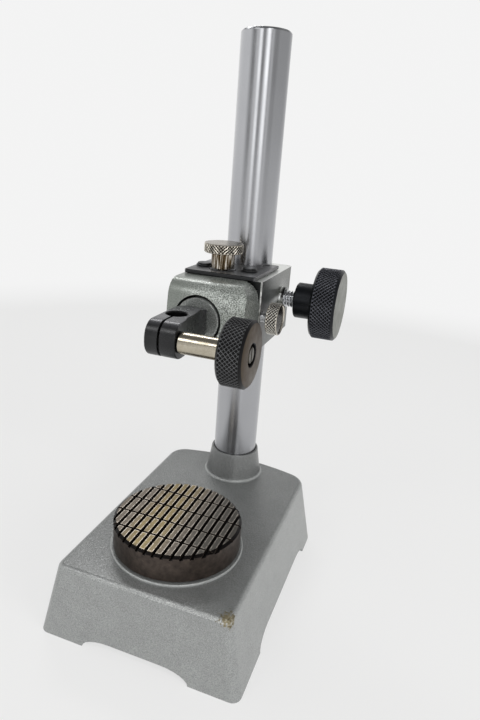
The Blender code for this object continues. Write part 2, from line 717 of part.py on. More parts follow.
def make_anvil(parent):
    spot = (0.0, ANVIL_Y, 0.0)
    rim = ANVIL_FACE - ANVIL_BEVEL_DEPTH
    profile = [(0.0, ANVIL_FACE), (ANVIL_RADIUS - ANVIL_BEVEL_WIDTH, ANVIL_FACE), (ANVIL_RADIUS, rim),
               (ANVIL_RADIUS, ANVIL_FOOT + ANVIL_FOOT_CHAMFER),
               (ANVIL_RADIUS - ANVIL_FOOT_CHAMFER, ANVIL_FOOT), (0.0, ANVIL_FOOT)]
    made = turned("anvil", profile, STAND, spot, parent=parent, steps=FINE_STEPS)
    face_spot = (0.0, ANVIL_Y, ANVIL_FACE)
    cut(made,
        hole("anvil_thread", ANVIL_SCREW_RADIUS + SEAT_GAP, ANVIL_FOOT - OVERRUN,
             ANVIL_FOOT + ANVIL_HOLE_DEPTH, spot),
        blocks("long_grooves", groove_boxes(LONG_GROOVE_COUNT, LONG_GROOVE_PITCH, LONG_GROOVE_WIDTH,
                                            LONG_GROOVE_DEPTH, True), CUTTERS, face_spot),
        blocks("cross_grooves", groove_boxes(CROSS_GROOVE_COUNT, CROSS_GROOVE_PITCH, CROSS_GROOVE_WIDTH,
                                             CROSS_GROOVE_DEPTH, False), CUTTERS, face_spot))
    return as_piece(made, ANVIL_STEEL)


# Column and its guide bush

def make_column(parent):
    spot = (0.0, COLUMN_Y, 0.0)
    narrow = COLUMN_RADIUS - COLUMN_CHAMFER
    profile = [(0.0, COLUMN_TOP_HEIGHT), (narrow, COLUMN_TOP_HEIGHT),
               (COLUMN_RADIUS, COLUMN_TOP_HEIGHT - COLUMN_CHAMFER),
               (COLUMN_RADIUS, COLUMN_FOOT + COLUMN_CHAMFER), (narrow, COLUMN_FOOT), (0.0, COLUMN_FOOT)]
    made = turned("column", profile, STAND, spot, parent=parent, steps=FINE_STEPS)
    cut(made, hole("column_thread", COLUMN_BOLT_RADIUS + SEAT_GAP, COLUMN_FOOT - OVERRUN,
                   COLUMN_FOOT + COLUMN_THREAD_DEPTH, spot))
    return as_piece(made, GROUND_STEEL)


def make_bush(parent):
    """Thin split bush that slides on the column; the bracket swings round it."""
    spot = (0.0, COLUMN_Y, 0.0)
    low = BRACKET_BOTTOM_HEIGHT + BUSH_LIP + SEAT_GAP
    high = BRACKET_TOP_HEIGHT
    profile = [(BUSH_INNER, high), (BUSH_OUTER, high), (BUSH_OUTER, low), (BUSH_INNER, low)]
    made = turned("column_bush", profile, STAND, spot, parent=parent, steps=FINE_STEPS, ring=True)
    cut(made, block("bush_slit", (-BUSH_OUTER - OVERRUN, -BUSH_SLIT / 2, low - OVERRUN),
                    (-COLUMN_RADIUS / 2, BUSH_SLIT / 2, high + OVERRUN), CUTTERS, spot))
    return as_piece(made, BRONZE)


# Bracket

def bracket_side_ring(x):
    """The bracket's side outline at one width: bulged nose, rounded nose edges, level top."""
    swell = BRACKET_NOSE_BOW * ((x - BARREL_OFFSET) / BRACKET_HALF_WIDTH) ** 2
    nose = BRACKET_FRONT_Y + swell
    corner_y = nose + BRACKET_NOSE_BULGE + BRACKET_NOSE_RADIUS
    rear = BRACKET_REAR_Y + OVERRUN
    low_centre = BRACKET_BOTTOM_HEIGHT + BRACKET_NOSE_RADIUS
    high_centre = BRACKET_TOP_HEIGHT - BRACKET_NOSE_RADIUS
    half = (high_centre - low_centre) / 2
    points = [(rear, BRACKET_BOTTOM_HEIGHT)]
    points += arc(corner_y, low_centre, BRACKET_NOSE_RADIUS, 270.0, 180.0, CORNER_STEPS)
    for i in range(1, CORNER_STEPS):
        along = 2.0 * i / CORNER_STEPS - 1.0
        points.append((nose + BRACKET_NOSE_BULGE * along ** 2, BRACKET_MIDDLE + half * along))
    points += arc(corner_y, high_centre, BRACKET_NOSE_RADIUS, 180.0, 90.0, CORNER_STEPS)
    points.append((rear, BRACKET_TOP_HEIGHT))
    return [(x, y, z) for y, z in points]


def bracket_plan():
    """Plan outline: a drafted facet right of the nose, straight sides, rounded rear corners."""
    half = BRACKET_HALF_WIDTH
    reach = BRACKET_LEFT_REACH
    drafted = BRACKET_FRONT_Y + BRACKET_DRAFT_LENGTH
    ahead = BRACKET_FRONT_Y - OVERRUN
    corner = BRACKET_REAR_CORNER
    right = arc(half - corner, BRACKET_REAR_Y - corner, corner, 0.0, 90.0, CORNER_STEPS)
    left = arc(corner - reach, BRACKET_REAR_Y - corner, corner, 90.0, 180.0, CORNER_STEPS)
    return ([(-reach, ahead), (half - BRACKET_DRAFT, ahead),
             (half - BRACKET_DRAFT, BRACKET_FRONT_Y), (half, drafted)] + right + left)


def clamp_boss_profile():
    """Boss round the clamping stud, flaring into the bracket's side with a wide fillet."""
    flare = arc(CLAMP_BOSS_RADIUS + CLAMP_BOSS_FILLET, CLAMP_BOSS_X, CLAMP_BOSS_FILLET,
                180.0, 237.0, CORNER_STEPS)
    edge, level = flare[-1]
    foot = min(level, BRACKET_HALF_WIDTH) - CLAMP_BOSS_ROOT
    return [(0.0, CLAMP_BOSS_X)] + flare + [(edge, foot), (0.0, foot)]


def shoulder_trim():
    """What lies outside the rounded right shoulder of the nose, as far back as the seam."""
    side = BRACKET_HALF_WIDTH - SHOULDER_INSET
    centre = BRACKET_TOP_HEIGHT - SHOULDER_DEPTH
    curve = []
    for i in range(CORNER_STEPS + 1):
        angle = math.radians(90.0 * i / CORNER_STEPS)
        curve.append((side - SHOULDER_WIDTH * (1.0 - math.cos(angle)),
                      centre + SHOULDER_DEPTH * math.sin(angle)))
    beyond, top = BRACKET_HALF_WIDTH + OVERRUN, BRACKET_TOP_HEIGHT + OVERRUN
    low = BRACKET_BOTTOM_HEIGHT - OVERRUN
    outline = [(side, low)] + curve + [(side - SHOULDER_WIDTH, top), (beyond, top), (beyond, low)]
    return prism("shoulder_trim", outline, "Y", BRACKET_FRONT_Y - OVERRUN,
                 BRACKET_FRONT_Y + SEAM_SETBACK + SEAM_WIDTH / 2, CUTTERS)


def bracket_body():
    wide = BRACKET_LEFT_REACH + OVERRUN
    rings = [bracket_side_ring(wide * i / CORNER_STEPS) for i in range(-CORNER_STEPS, CORNER_STEPS + 1)]
    body = loft("bracket_casting", rings, STAND)
    trim = prism("bracket_plan", bracket_plan(), "Z", BRACKET_BOTTOM_HEIGHT - OVERRUN,
                 BRACKET_TOP_HEIGHT + OVERRUN, CUTTERS)
    combine(body, trim, "INTERSECT")
    cut(body, shoulder_trim())
    soften(body, BRACKET_EDGE)
    return body


def bracket_bores():
    """Holes for the guide bush, the barrel and its tail, the pivot pin and every screw."""
    column_spot = (0.0, COLUMN_Y, 0.0)
    lip_top = BRACKET_BOTTOM_HEIGHT + BUSH_LIP
    pocket_x = TAIL_POCKET_HALF
    return [
        hole("bush_bore", BRACKET_BORE, lip_top, BRACKET_TOP_HEIGHT + OVERRUN, column_spot,
             steps=FINE_STEPS),
        hole("column_clearance", BUSH_INNER, BRACKET_BOTTOM_HEIGHT - OVERRUN, lip_top + OVERRUN,
             column_spot, steps=FINE_STEPS),
        hole("barrel_bore", BARREL_BORE, BRACKET_FRONT_Y - OVERRUN, BARREL_BORE_END_Y,
             (BARREL_OFFSET, 0.0, BARREL_HEIGHT), TURN_TO_Y, steps=ROUND_STEPS),
        block("tail_pocket", (-pocket_x, BARREL_REAR_Y, TAIL_POCKET_FLOOR),
              (pocket_x, TAIL_END_Y + TAIL_ROOM_END, TAIL_POCKET_TOP), CUTTERS,
              (BARREL_OFFSET, 0.0, 0.0)),
        hole("pivot_hole", PIVOT_RADIUS + SEAT_GAP, -BRACKET_LEFT_REACH - OVERRUN,
             BARREL_OFFSET + BARREL_BORE + PIVOT_PAST_BORE, (0.0, PIVOT_Y, BARREL_HEIGHT), TURN_TO_X),
        hole("fine_bush_hole", FINE_BUSH_RADIUS + SEAT_GAP, TAIL_POCKET_TOP - OVERRUN,
             BRACKET_TOP_HEIGHT + OVERRUN, (FINE_OFFSET, FINE_Y, 0.0), steps=ROUND_STEPS),
        hole("lock_hole", LOCK_RADIUS + SEAT_GAP, TAIL_RIGHT, BRACKET_HALF_WIDTH + OVERRUN,
             (0.0, LOCK_Y, BARREL_HEIGHT), TURN_TO_X),
        hole("clamp_hole", CLAMP_STUD_RADIUS + SEAT_GAP, BUSH_INNER, CLAMP_BOSS_X + OVERRUN,
             (0.0, COLUMN_Y, CLAMP_HEIGHT), TURN_TO_X),
    ] + [
        hole("plate_screw_hole_" + side, PLATE_SCREW_RADIUS + SEAT_GAP,
             PLATE_TOP - PLATE_SCREW_LENGTH - SCREW_TIP_ROOM, BRACKET_TOP_HEIGHT + OVERRUN,
             (x, COLUMN_Y - PLATE_SCREW_REACH, 0.0))
        for side, x in plate_screw_spots()
    ]


def bracket_seam():
    """The seam down the right side and the pocket under the plate where it starts."""
    seam_y = BRACKET_FRONT_Y + SEAM_SETBACK
    side = BRACKET_HALF_WIDTH
    rear = seam_y + SEAM_WIDTH
    chamfer = SEAM_CHAMFER
    seam = prism("side_seam", [(side - SEAM_DEPTH, seam_y), (side + OVERRUN, seam_y),
                               (side + OVERRUN, rear + chamfer), (side, rear + chamfer),
                               (side - chamfer, rear), (side - SEAM_DEPTH, rear)],
                 "Z", BRACKET_BOTTOM_HEIGHT - OVERRUN, BRACKET_TOP_HEIGHT + OVERRUN, CUTTERS)
    top = BRACKET_TOP_HEIGHT + OVERRUN
    mouth = prism("seam_mouth", [(seam_y, BRACKET_TOP_HEIGHT - SEAM_MOUTH_DEPTH),
                                 (rear, BRACKET_TOP_HEIGHT - SEAM_MOUTH_DEPTH), (rear, top),
                                 (rear - SEAM_MOUTH, top), (rear - SEAM_MOUTH, BRACKET_TOP_HEIGHT)],
                  "X", side - SEAM_MOUTH_RUN, side + OVERRUN, CUTTERS)
    return [seam, mouth]


def make_bracket(parent):
    body = bracket_body()
    cut(body, *bracket_seam())
    join(body, turned("clamp_boss", clamp_boss_profile(), CUTTERS, (0.0, COLUMN_Y, CLAMP_HEIGHT),
                      TURN_TO_X))
    cut(body, *bracket_bores())
    attach(body, (0.0, 0.0, 0.0), parent)
    return as_piece(body, HAMMERED)


def plate_screw_spots():
    return [("left", -PLATE_SCREW_LEFT), ("right", PLATE_SCREW_RIGHT)]


def make_plate(parent):
    """Black plate beside the column, cut away round it and drilled for the screws."""
    front_y, rear_y = PLATE_FRONT_Y, PLATE_REAR_Y
    corner = PLATE_CORNER
    outline = arc(corner - PLATE_LEFT, front_y + corner, corner, 180.0, 270.0, 3)
    outline += arc(PLATE_RIGHT - corner, front_y + corner, corner, 270.0, 360.0, 3)
    outline += [(PLATE_RIGHT, rear_y), (-PLATE_LEFT, rear_y)]
    made = prism("top_plate", outline, "Z", PLATE_BOTTOM, PLATE_TOP, STAND)
    soften(made, PLATE_EDGE, 1)
    cut(made,
        hole("plate_column_cut", COLUMN_RADIUS + PLATE_COLUMN_GAP, PLATE_BOTTOM - OVERRUN,
             PLATE_TOP + OVERRUN, (0.0, COLUMN_Y, 0.0), steps=FINE_STEPS),
        hole("plate_bush_cut", FINE_BUSH_RADIUS + SEAT_GAP, PLATE_BOTTOM - OVERRUN, PLATE_TOP + OVERRUN,
             (FINE_OFFSET, FINE_Y, 0.0), steps=ROUND_STEPS),
        *[hole("plate_cut_" + side, PLATE_SCREW_RADIUS + SEAT_GAP, PLATE_BOTTOM - OVERRUN,
               PLATE_TOP + OVERRUN, (x, COLUMN_Y - PLATE_SCREW_REACH, 0.0))
          for side, x in plate_screw_spots()])
    attach(made, (0.0, 0.0, 0.0), parent)
    return as_piece(made, BLACK_OXIDE)


def make_plate_screws(parent):
    """Low flanged screws that hold the plate to its seat."""
    seat = PLATE_TOP + SEAT_GAP
    top = seat + PLATE_SCREW_HEAD_RISE
    flange = seat + PLATE_SCREW_FLANGE_RISE
    tip = PLATE_TOP - PLATE_SCREW_LENGTH
    profile = [(0.0, top), (PLATE_SCREW_HEAD - SEAT_GAP, top), (PLATE_SCREW_HEAD, top - SEAT_GAP),
               (PLATE_SCREW_HEAD, flange), (PLATE_SCREW_FLANGE, flange), (PLATE_SCREW_FLANGE, seat),
               (PLATE_SCREW_RADIUS, seat), (PLATE_SCREW_RADIUS, tip + SEAT_GAP),
               (PLATE_SCREW_RADIUS - SEAT_GAP, tip), (0.0, tip)]
    for side, x in plate_screw_spots():
        made = turned("plate_screw_" + side, profile, STAND, (x, COLUMN_Y - PLATE_SCREW_REACH, 0.0),
                      parent=parent, steps=SMALL_STEPS)
        as_piece(made, BLACK_OXIDE)


def make_fine_bush(parent):
    """Threaded bush of the fine screw, flush with the plate and held in the casting."""
    bore = FINE_THREAD_RADIUS + SEAT_GAP
    low = FINE_BUSH_TOP - PLATE_THICKNESS - FINE_BUSH_DEPTH
    profile = [(bore, FINE_BUSH_TOP), (FINE_BUSH_RADIUS, FINE_BUSH_TOP), (FINE_BUSH_RADIUS, low),
               (bore, low)]
    made = turned("fine_bush", profile, STAND, (FINE_OFFSET, FINE_Y, 0.0), parent=parent,
                  steps=SMALL_STEPS, ring=True)
    return as_piece(made, BLACK_OXIDE)


def make_pivot_pin(parent):
    """Cross pin that the barrel rocks on, entered from the left."""
    low = PIVOT_SINK - BRACKET_LEFT_REACH
    high = BARREL_OFFSET + BARREL_BORE + PIVOT_PAST_BORE - SEAT_GAP
    made = rod("pivot_pin", PIVOT_RADIUS, low, high, STAND, (0.0, PIVOT_Y, BARREL_HEIGHT), TURN_TO_X,
               parent)
    return as_piece(made, ZINC_STEEL)


def make_return_spring(parent):
    """Compression spring between the pocket's floor and the tail, one unbroken wire."""
    low = TAIL_POCKET_FLOOR + SEAT_GAP + SPRING_WIRE
    high = TAIL_BOTTOM - SEAT_GAP - SPRING_WIRE
    count = SPRING_TURNS * SPRING_POINTS_PER_TURN
    wire = bpy.data.curves.new("return_spring", "CURVE")
    wire.dimensions = "3D"
    wire.bevel_depth = SPRING_WIRE
    wire.bevel_resolution = 1
    wire.use_fill_caps = True
    line = wire.splines.new("POLY")
    line.points.add(count)
    for i, point in enumerate(line.points):
        angle = 2.0 * math.pi * i / SPRING_POINTS_PER_TURN
        x, y = SPRING_RADIUS * math.cos(angle), SPRING_RADIUS * math.sin(angle)
        point.co = (x, y, low + (high - low) * i / count, 1.0)
    made = add_object("return_spring", wire, STAND, (BARREL_OFFSET, FINE_Y, 0.0), UPRIGHT, parent)
    wire.materials.append(SPRING_STEEL)
    gap = (high - low) / SPRING_TURNS - 2.0 * SPRING_WIRE
    print("return spring: least gap between turns", round(gap * 1000.0, 2), "mm")
    return made


# Rocking barrel with the stem clamp

def make_barrel(parent):
    """Barrel that shows as a disc in the nose, bored for the pin, the clamp and the tail."""
    radius, edge = BARREL_RADIUS, BARREL_EDGE
    spot = (BARREL_OFFSET, BARREL_FACE_Y, BARREL_HEIGHT)
    length = BARREL_LENGTH
    profile = [(0.0, length), (radius - edge, length), (radius, length - edge), (radius, edge),
               (radius - edge, 0.0), (0.0, 0.0)]
    made = turned("barrel", profile, STAND, spot, TURN_TO_Y, parent, ROUND_STEPS)
    half_w, half_h = TAIL_WIDTH / 2 + SEAT_GAP, TAIL_HEIGHT / 2 + SEAT_GAP
    reach = radius + OVERRUN
    cut(made,
        hole("spigot_socket", STEM_SPIGOT_RADIUS + SEAT_GAP, -OVERRUN, STEM_SPIGOT_LENGTH, spot,
             TURN_TO_Y),
        hole("pin_bore", PIVOT_RADIUS + SEAT_GAP, -reach, reach,
             (BARREL_OFFSET, PIVOT_Y, BARREL_HEIGHT), TURN_TO_X),
        block("tail_socket", (-half_w, length - TAIL_SOCKET_DEPTH, -half_h),
              (half_w, length + OVERRUN, half_h), CUTTERS, spot))
    return as_piece(made, HAMMERED)


def make_tail(parent):
    """Bar behind the barrel that the fine screw presses down and the spring lifts."""
    start = BARREL_REAR_Y - TAIL_SOCKET_DEPTH + SEAT_GAP
    half_w, half_h = TAIL_WIDTH / 2, TAIL_HEIGHT / 2
    made = block("rocker_tail", (-half_w, start - PIVOT_Y, -half_h), (half_w, TAIL_END_Y - PIVOT_Y, half_h),
                 STAND, (BARREL_OFFSET, PIVOT_Y, BARREL_HEIGHT), parent)
    soften(made, TAIL_EDGE, 1)
    return as_piece(made, ZINC_STEEL)


def stem_plan():
    """Plan of the clamp from the stem's axis: straight on the left, sweeping in on the right."""
    arm_end = STEM_ARM_END_Y - STEM_Y
    lobe_end = STEM_LOBE_BLEND - STEM_LOBE_REAR
    return [(-STEM_JAW_LEFT, -STEM_JAW_FRONT), (STEM_JAW_RIGHT, -STEM_JAW_FRONT),
            (STEM_JAW_RIGHT, -STEM_LOBE_REAR), (STEM_WAIST, lobe_end), (STEM_WAIST, STEM_WAIST_REAR),
            (STEM_ARM_RIGHT, arm_end), (-STEM_ARM_LEFT, arm_end), (-STEM_JAW_LEFT, STEM_WAIST_REAR)]


def stem_side():
    """Side of the clamp: rounded jaws in front, a level top that falls gently to the barrel."""
    nose = STEM_NOSE_RADIUS
    centre_y = STEM_Y - STEM_JAW_FRONT + nose
    slope_start = STEM_Y + STEM_WAIST_REAR
    beyond = STEM_ARM_END_Y + OVERRUN
    slope_end = slope_start + STEM_ARM_BLEND_SHARE * (STEM_ARM_END_Y - slope_start)
    arm_top = BARREL_HEIGHT + STEM_ARM_HEIGHT / 2
    arm_bottom = BARREL_HEIGHT - STEM_ARM_HEIGHT / 2
    points = arc(centre_y, STEM_TOP - nose, nose, 90.0, 180.0, CORNER_STEPS)
    points += arc(centre_y, STEM_BOTTOM + nose, nose, 180.0, 270.0, CORNER_STEPS)
    points += [(slope_start, STEM_BOTTOM), (slope_end, arm_bottom), (beyond, arm_bottom),
               (beyond, arm_top), (slope_end, STEM_TOP)]
    return points


def stem_body():
    plan = [(STEM_X + a, STEM_Y + b) for a, b in stem_plan()]
    body = prism("stem_clamp", stem_side(), "X", STEM_X - STEM_JAW_LEFT - OVERRUN,
                 STEM_JAW_RIGHT_X + OVERRUN, STAND)
    trim = prism("stem_plan", plan, "Z", STEM_BOTTOM - OVERRUN, STEM_TOP + OVERRUN, CUTTERS)
    combine(body, trim, "INTERSECT")
    soften(body, STEM_EDGE)
    return body


def make_stem_clamp(parent):
    body = stem_body()
    chamfer = STEM_BORE_CHAMFER
    bore = STEM_BORE_RADIUS
    wide = bore + chamfer
    high, low = STEM_TOP + chamfer, STEM_BOTTOM - chamfer
    bore_profile = [(0.0, high), (wide + chamfer, high), (bore, STEM_TOP - chamfer),
                    (bore, STEM_BOTTOM + chamfer), (wide + chamfer, low), (0.0, low)]
    screw_spot = (0.0, STEM_SCREW_Y, BARREL_HEIGHT)
    front = STEM_Y - STEM_JAW_FRONT - OVERRUN
    join(body, rod("stem_spigot", STEM_SPIGOT_RADIUS, -OVERRUN, STEM_SPIGOT_LENGTH, CUTTERS,
                   (BARREL_OFFSET, STEM_ARM_END_Y, BARREL_HEIGHT), TURN_TO_Y))
    cut(body,
        turned("stem_bore", bore_profile, CUTTERS, (STEM_X, STEM_Y, 0.0)),
        block("stem_slit", (STEM_X - STEM_SLIT / 2, front, STEM_BOTTOM - OVERRUN),
              (STEM_X + STEM_SLIT / 2, STEM_Y, STEM_TOP + OVERRUN), CUTTERS),
        hole("stem_screw_hole", STEM_SCREW_RADIUS + SEAT_GAP, STEM_X - STEM_JAW_LEFT + STEM_SCREW_BLIND,
             STEM_JAW_RIGHT_X + OVERRUN, screw_spot, TURN_TO_X))
    attach(body, (0.0, 0.0, 0.0), parent)
    return as_piece(body, BLACK_OXIDE)


def make_stem_sleeve(parent):
    """Nickel distance sleeve between the clamp and its knob."""
    bore = STEM_SCREW_RADIUS + SEAT_GAP
    radius, chamfer, length = STEM_SLEEVE_RADIUS, STEM_SLEEVE_CHAMFER, STEM_SLEEVE_LENGTH
    profile = [(bore, length), (radius - chamfer, length), (radius, length - chamfer), (radius, chamfer),
               (radius - chamfer, 0.0), (bore, 0.0)]
    made = turned("stem_sleeve", profile, STAND, (STEM_SLEEVE_X, STEM_SCREW_Y, BARREL_HEIGHT), TURN_TO_X,
                  parent, ROUND_STEPS, ring=True)
    return as_piece(made, NICKEL)


def make_stem_knob(parent):
    """Knurled knob on the clamp's screw, recessed for a clip and a slotted screw end."""
    spot = (STEM_KNOB_X, STEM_SCREW_Y, BARREL_HEIGHT)
    radius, chamfer, width = STEM_KNOB_RADIUS, STEM_KNOB_CHAMFER, STEM_KNOB_WIDTH
    floor = width - STEM_KNOB_RECESS_DEPTH
    bore = STEM_SCREW_RADIUS + SEAT_GAP
    profile = [(STEM_KNOB_RECESS_RADIUS, width), (radius - chamfer, width), (radius, width - chamfer),
               (radius, chamfer), (radius - chamfer, 0.0), (bore, 0.0), (bore, floor),
               (STEM_KNOB_RECESS_RADIUS, floor)]
    knob = turned("stem_knob", profile, STAND, spot, TURN_TO_X, parent, FINE_STEPS, ring=True)
    as_piece(knob, BLACK_OXIDE)

    clip_low = floor + SEAT_GAP
    clip_high = clip_low + STEM_CLIP_THICKNESS
    clip_profile = [(bore, clip_high), (STEM_CLIP_RADIUS, clip_high), (STEM_CLIP_RADIUS, clip_low),
                    (bore, clip_low)]
    clip = turned("stem_clip", clip_profile, STAND, spot, TURN_TO_X, parent, SMALL_STEPS, ring=True)
    mouth = block("clip_mouth", (0.0, -STEM_CLIP_GAP / 2, clip_low - OVERRUN),
                  (STEM_CLIP_RADIUS + OVERRUN, STEM_CLIP_GAP / 2, clip_high + OVERRUN), CUTTERS, spot)
    mouth.rotation_euler = TURN_TO_X
    cut(clip, mouth)
    as_piece(clip, SPRING_STEEL)
    return clip_high + SEAT_GAP


def make_stem_screw(parent, head_seat):
    """Clamping screw through knob, sleeve and jaws, with its slotted end in the knob."""
    spot = (STEM_KNOB_X, STEM_SCREW_Y, BARREL_HEIGHT)
    tip = STEM_X - STEM_JAW_LEFT + STEM_SCREW_BLIND + SEAT_GAP - STEM_KNOB_X
    top = head_seat + STEM_END_HEIGHT
    radius, head = STEM_SCREW_RADIUS, STEM_END_RADIUS
    profile = [(0.0, top), (head - SEAT_GAP, top), (head, top - SEAT_GAP), (head, head_seat),
               (radius, head_seat), (radius, tip + SEAT_GAP), (radius - SEAT_GAP, tip), (0.0, tip)]
    made = turned("stem_screw", profile, STAND, spot, TURN_TO_X, parent, SMALL_STEPS)
    slot = block("end_slot", (-head - OVERRUN, -STEM_END_SLOT / 2, top - STEM_END_SLOT_DEPTH),
                 (head + OVERRUN, STEM_END_SLOT / 2, top + OVERRUN), CUTTERS, spot)
    slot.rotation_euler = TURN_TO_X
    cut(made, slot)
    return as_piece(made, NICKEL)


# Fine adjusting screw

def make_fine_tip(parent):
    """Swivelling foot at the end of the fine screw, on the tail."""
    made = rod("fine_tip", FINE_TIP_RADIUS, 0.0, FINE_TIP_HEIGHT, STAND,
               (FINE_OFFSET, FINE_Y, FINE_TIP_FOOT), parent=parent)
    return as_piece(made, ZINC_STEEL)


def make_fine_knob(parent):
    """Knurled head, plain shank and threaded stem in one turned piece."""
    foot = FINE_KNOB_FOOT
    head = foot + FINE_SHANK_HEIGHT
    top = head + FINE_HEAD_HEIGHT
    stem = FINE_TIP_TOP + SEAT_GAP
    radius, edge = FINE_HEAD_RADIUS, FINE_EDGE
    profile = [(0.0, top), (radius / 2, top - FINE_HEAD_CROWN / 4), (radius - edge, top - FINE_HEAD_CROWN),
               (radius, top - FINE_HEAD_CROWN - edge), (radius, head + edge), (radius - edge, head),
               (FINE_SHANK_RADIUS, head), (FINE_SHANK_RADIUS, foot), (FINE_THREAD_RADIUS, foot),
               (FINE_THREAD_RADIUS, stem), (0.0, stem)]
    made = turned("fine_knob", profile, STAND, (FINE_OFFSET, FINE_Y, 0.0), parent=parent,
                  steps=ROUND_STEPS)
    return as_piece(made, NICKEL)


# Locking thumb screw

def make_lock_tip(parent):
    made = rod("lock_tip", LOCK_TIP_RADIUS, 0.0, LOCK_TIP_LENGTH, STAND,
               (LOCK_TIP_X, LOCK_Y, BARREL_HEIGHT), TURN_TO_X, parent)
    return as_piece(made, BRONZE)


def make_lock_screw(parent):
    """Small knurled thumb screw with a shallow dished face."""
    start = LOCK_STEM_X
    head = LOCK_HEAD_X
    end = head + LOCK_HEAD_WIDTH
    radius, edge = LOCK_HEAD_RADIUS, LOCK_EDGE
    rim = radius - edge - LOCK_RIM
    profile = [(0.0, end - LOCK_HEAD_DISH), (rim, end - LOCK_HEAD_DISH), (rim + edge, end),
               (radius - edge, end), (radius, end - edge), (radius, head + edge), (radius - edge, head),
               (LOCK_RADIUS, head), (LOCK_RADIUS, start), (0.0, start)]
    made = turned("lock_screw", profile, STAND, (0.0, LOCK_Y, BARREL_HEIGHT), TURN_TO_X, parent,
                  ROUND_STEPS)
    return as_piece(made, NICKEL)


# Column clamping screw

def make_clamp_pad(parent):
    """Bronze pad at the stud's end, which presses the split bush on to the column."""
    made = rod("clamp_pad", CLAMP_PAD_RADIUS, 0.0, CLAMP_PAD_LENGTH, STAND,
               (CLAMP_PAD_X, COLUMN_Y, CLAMP_HEIGHT), TURN_TO_X, parent)
    return as_piece(made, BRONZE)


def make_clamp_knob(parent):
    """Large knurled knob with a plain hub, and the threaded stud seated in the hub."""
    spot = (0.0, COLUMN_Y, CLAMP_HEIGHT)
    radius, chamfer = CLAMP_HEAD_RADIUS, CLAMP_HEAD_CHAMFER
    hub = CLAMP_HUB_RADIUS
    seat = CLAMP_HUB_X + CLAMP_STUD_SEAT
    bore = CLAMP_STUD_RADIUS + SEAT_GAP
    profile = [(0.0, CLAMP_END_X), (radius - chamfer, CLAMP_END_X), (radius, CLAMP_END_X - chamfer),
               (radius, CLAMP_HEAD_X + chamfer), (radius - chamfer, CLAMP_HEAD_X), (hub, CLAMP_HEAD_X),
               (hub, CLAMP_HUB_X + CLAMP_HUB_CHAMFER), (hub - CLAMP_HUB_CHAMFER, CLAMP_HUB_X),
               (bore, CLAMP_HUB_X), (bore, seat), (0.0, seat)]
    knob = turned("clamp_knob", profile, STAND, spot, TURN_TO_X, parent, FINE_STEPS)
    as_piece(knob, BLACK_OXIDE)
    end = seat - SEAT_GAP
    radius = CLAMP_STUD_RADIUS
    stud_profile = [(0.0, end), (radius - SEAT_GAP, end), (radius, end - SEAT_GAP),
                    (radius, CLAMP_STUD_X + SEAT_GAP), (radius - SEAT_GAP, CLAMP_STUD_X),
                    (0.0, CLAMP_STUD_X)]
    stud = turned("clamp_stud", stud_profile, STAND, spot, TURN_TO_X, parent, SMALL_STEPS)
    return as_piece(stud, ZINC_STEEL)


def make_stand():
    """Builds every sub-part under the empty of the body that it moves with."""
    column_spot = (0.0, COLUMN_Y, 0.0)
    clamp_spot = (0.0, COLUMN_Y, CLAMP_HEIGHT)
    fine_spot = (FINE_OFFSET, FINE_Y, 0.0)
    lock_spot = (0.0, LOCK_Y, BARREL_HEIGHT)
    screw_spot = (STEM_KNOB_X, STEM_SCREW_Y, BARREL_HEIGHT)
    stand = frame_empty("stand_frame", (0.0, 0.0, 0.0))
    make_base(stand)
    make_base_screws(stand)
    make_anvil(stand)
    make_column(stand)

    lift = frame_empty("lift_frame", column_spot, stand)
    make_bush(lift)
    swing = frame_empty("swing_frame", column_spot, lift)
    make_bracket(swing)
    make_plate(swing)
    make_plate_screws(swing)
    make_fine_bush(swing)
    make_pivot_pin(swing)
    make_return_spring(swing)

    clamp = frame_empty("clamp_frame", clamp_spot, swing)
    make_clamp_pad(clamp)
    make_clamp_knob(frame_empty("clamp_turn_frame", clamp_spot, clamp))
    fine = frame_empty("fine_frame", fine_spot, swing)
    make_fine_tip(fine)
    make_fine_knob(frame_empty("fine_turn_frame", fine_spot, fine))
    lock = frame_empty("lock_frame", lock_spot, swing)
    make_lock_tip(lock)
    make_lock_screw(frame_empty("lock_turn_frame", lock_spot, lock))

    rocker = frame_empty("rocker_frame", (BARREL_OFFSET, PIVOT_Y, BARREL_HEIGHT), swing)
    make_barrel(rocker)
    make_tail(rocker)
    make_stem_clamp(rocker)
    sleeve = frame_empty("sleeve_frame", screw_spot, rocker)
    make_stem_sleeve(sleeve)
    knob = frame_empty("stem_turn_frame", screw_spot, sleeve)
    head_seat = make_stem_knob(knob)
    make_stem_screw(knob, head_seat)


make_stand()
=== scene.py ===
"""The comparator stand dressed for its picture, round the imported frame.

Every piece sits where the frame's nodes sit. Castings, plate and clamp are refined
copies of their nodes, and the knobs and threads are cut anew with real knurling and
real helices. Lengths are metres, +Z is up, the clamping knobs are on the +X side.
"""

import json
import logging
import math
from dataclasses import dataclass
from enum import Enum
from functools import reduce
from typing import Iterable, Sequence

import bmesh
import bpy
from mathutils import Euler, Matrix, Vector

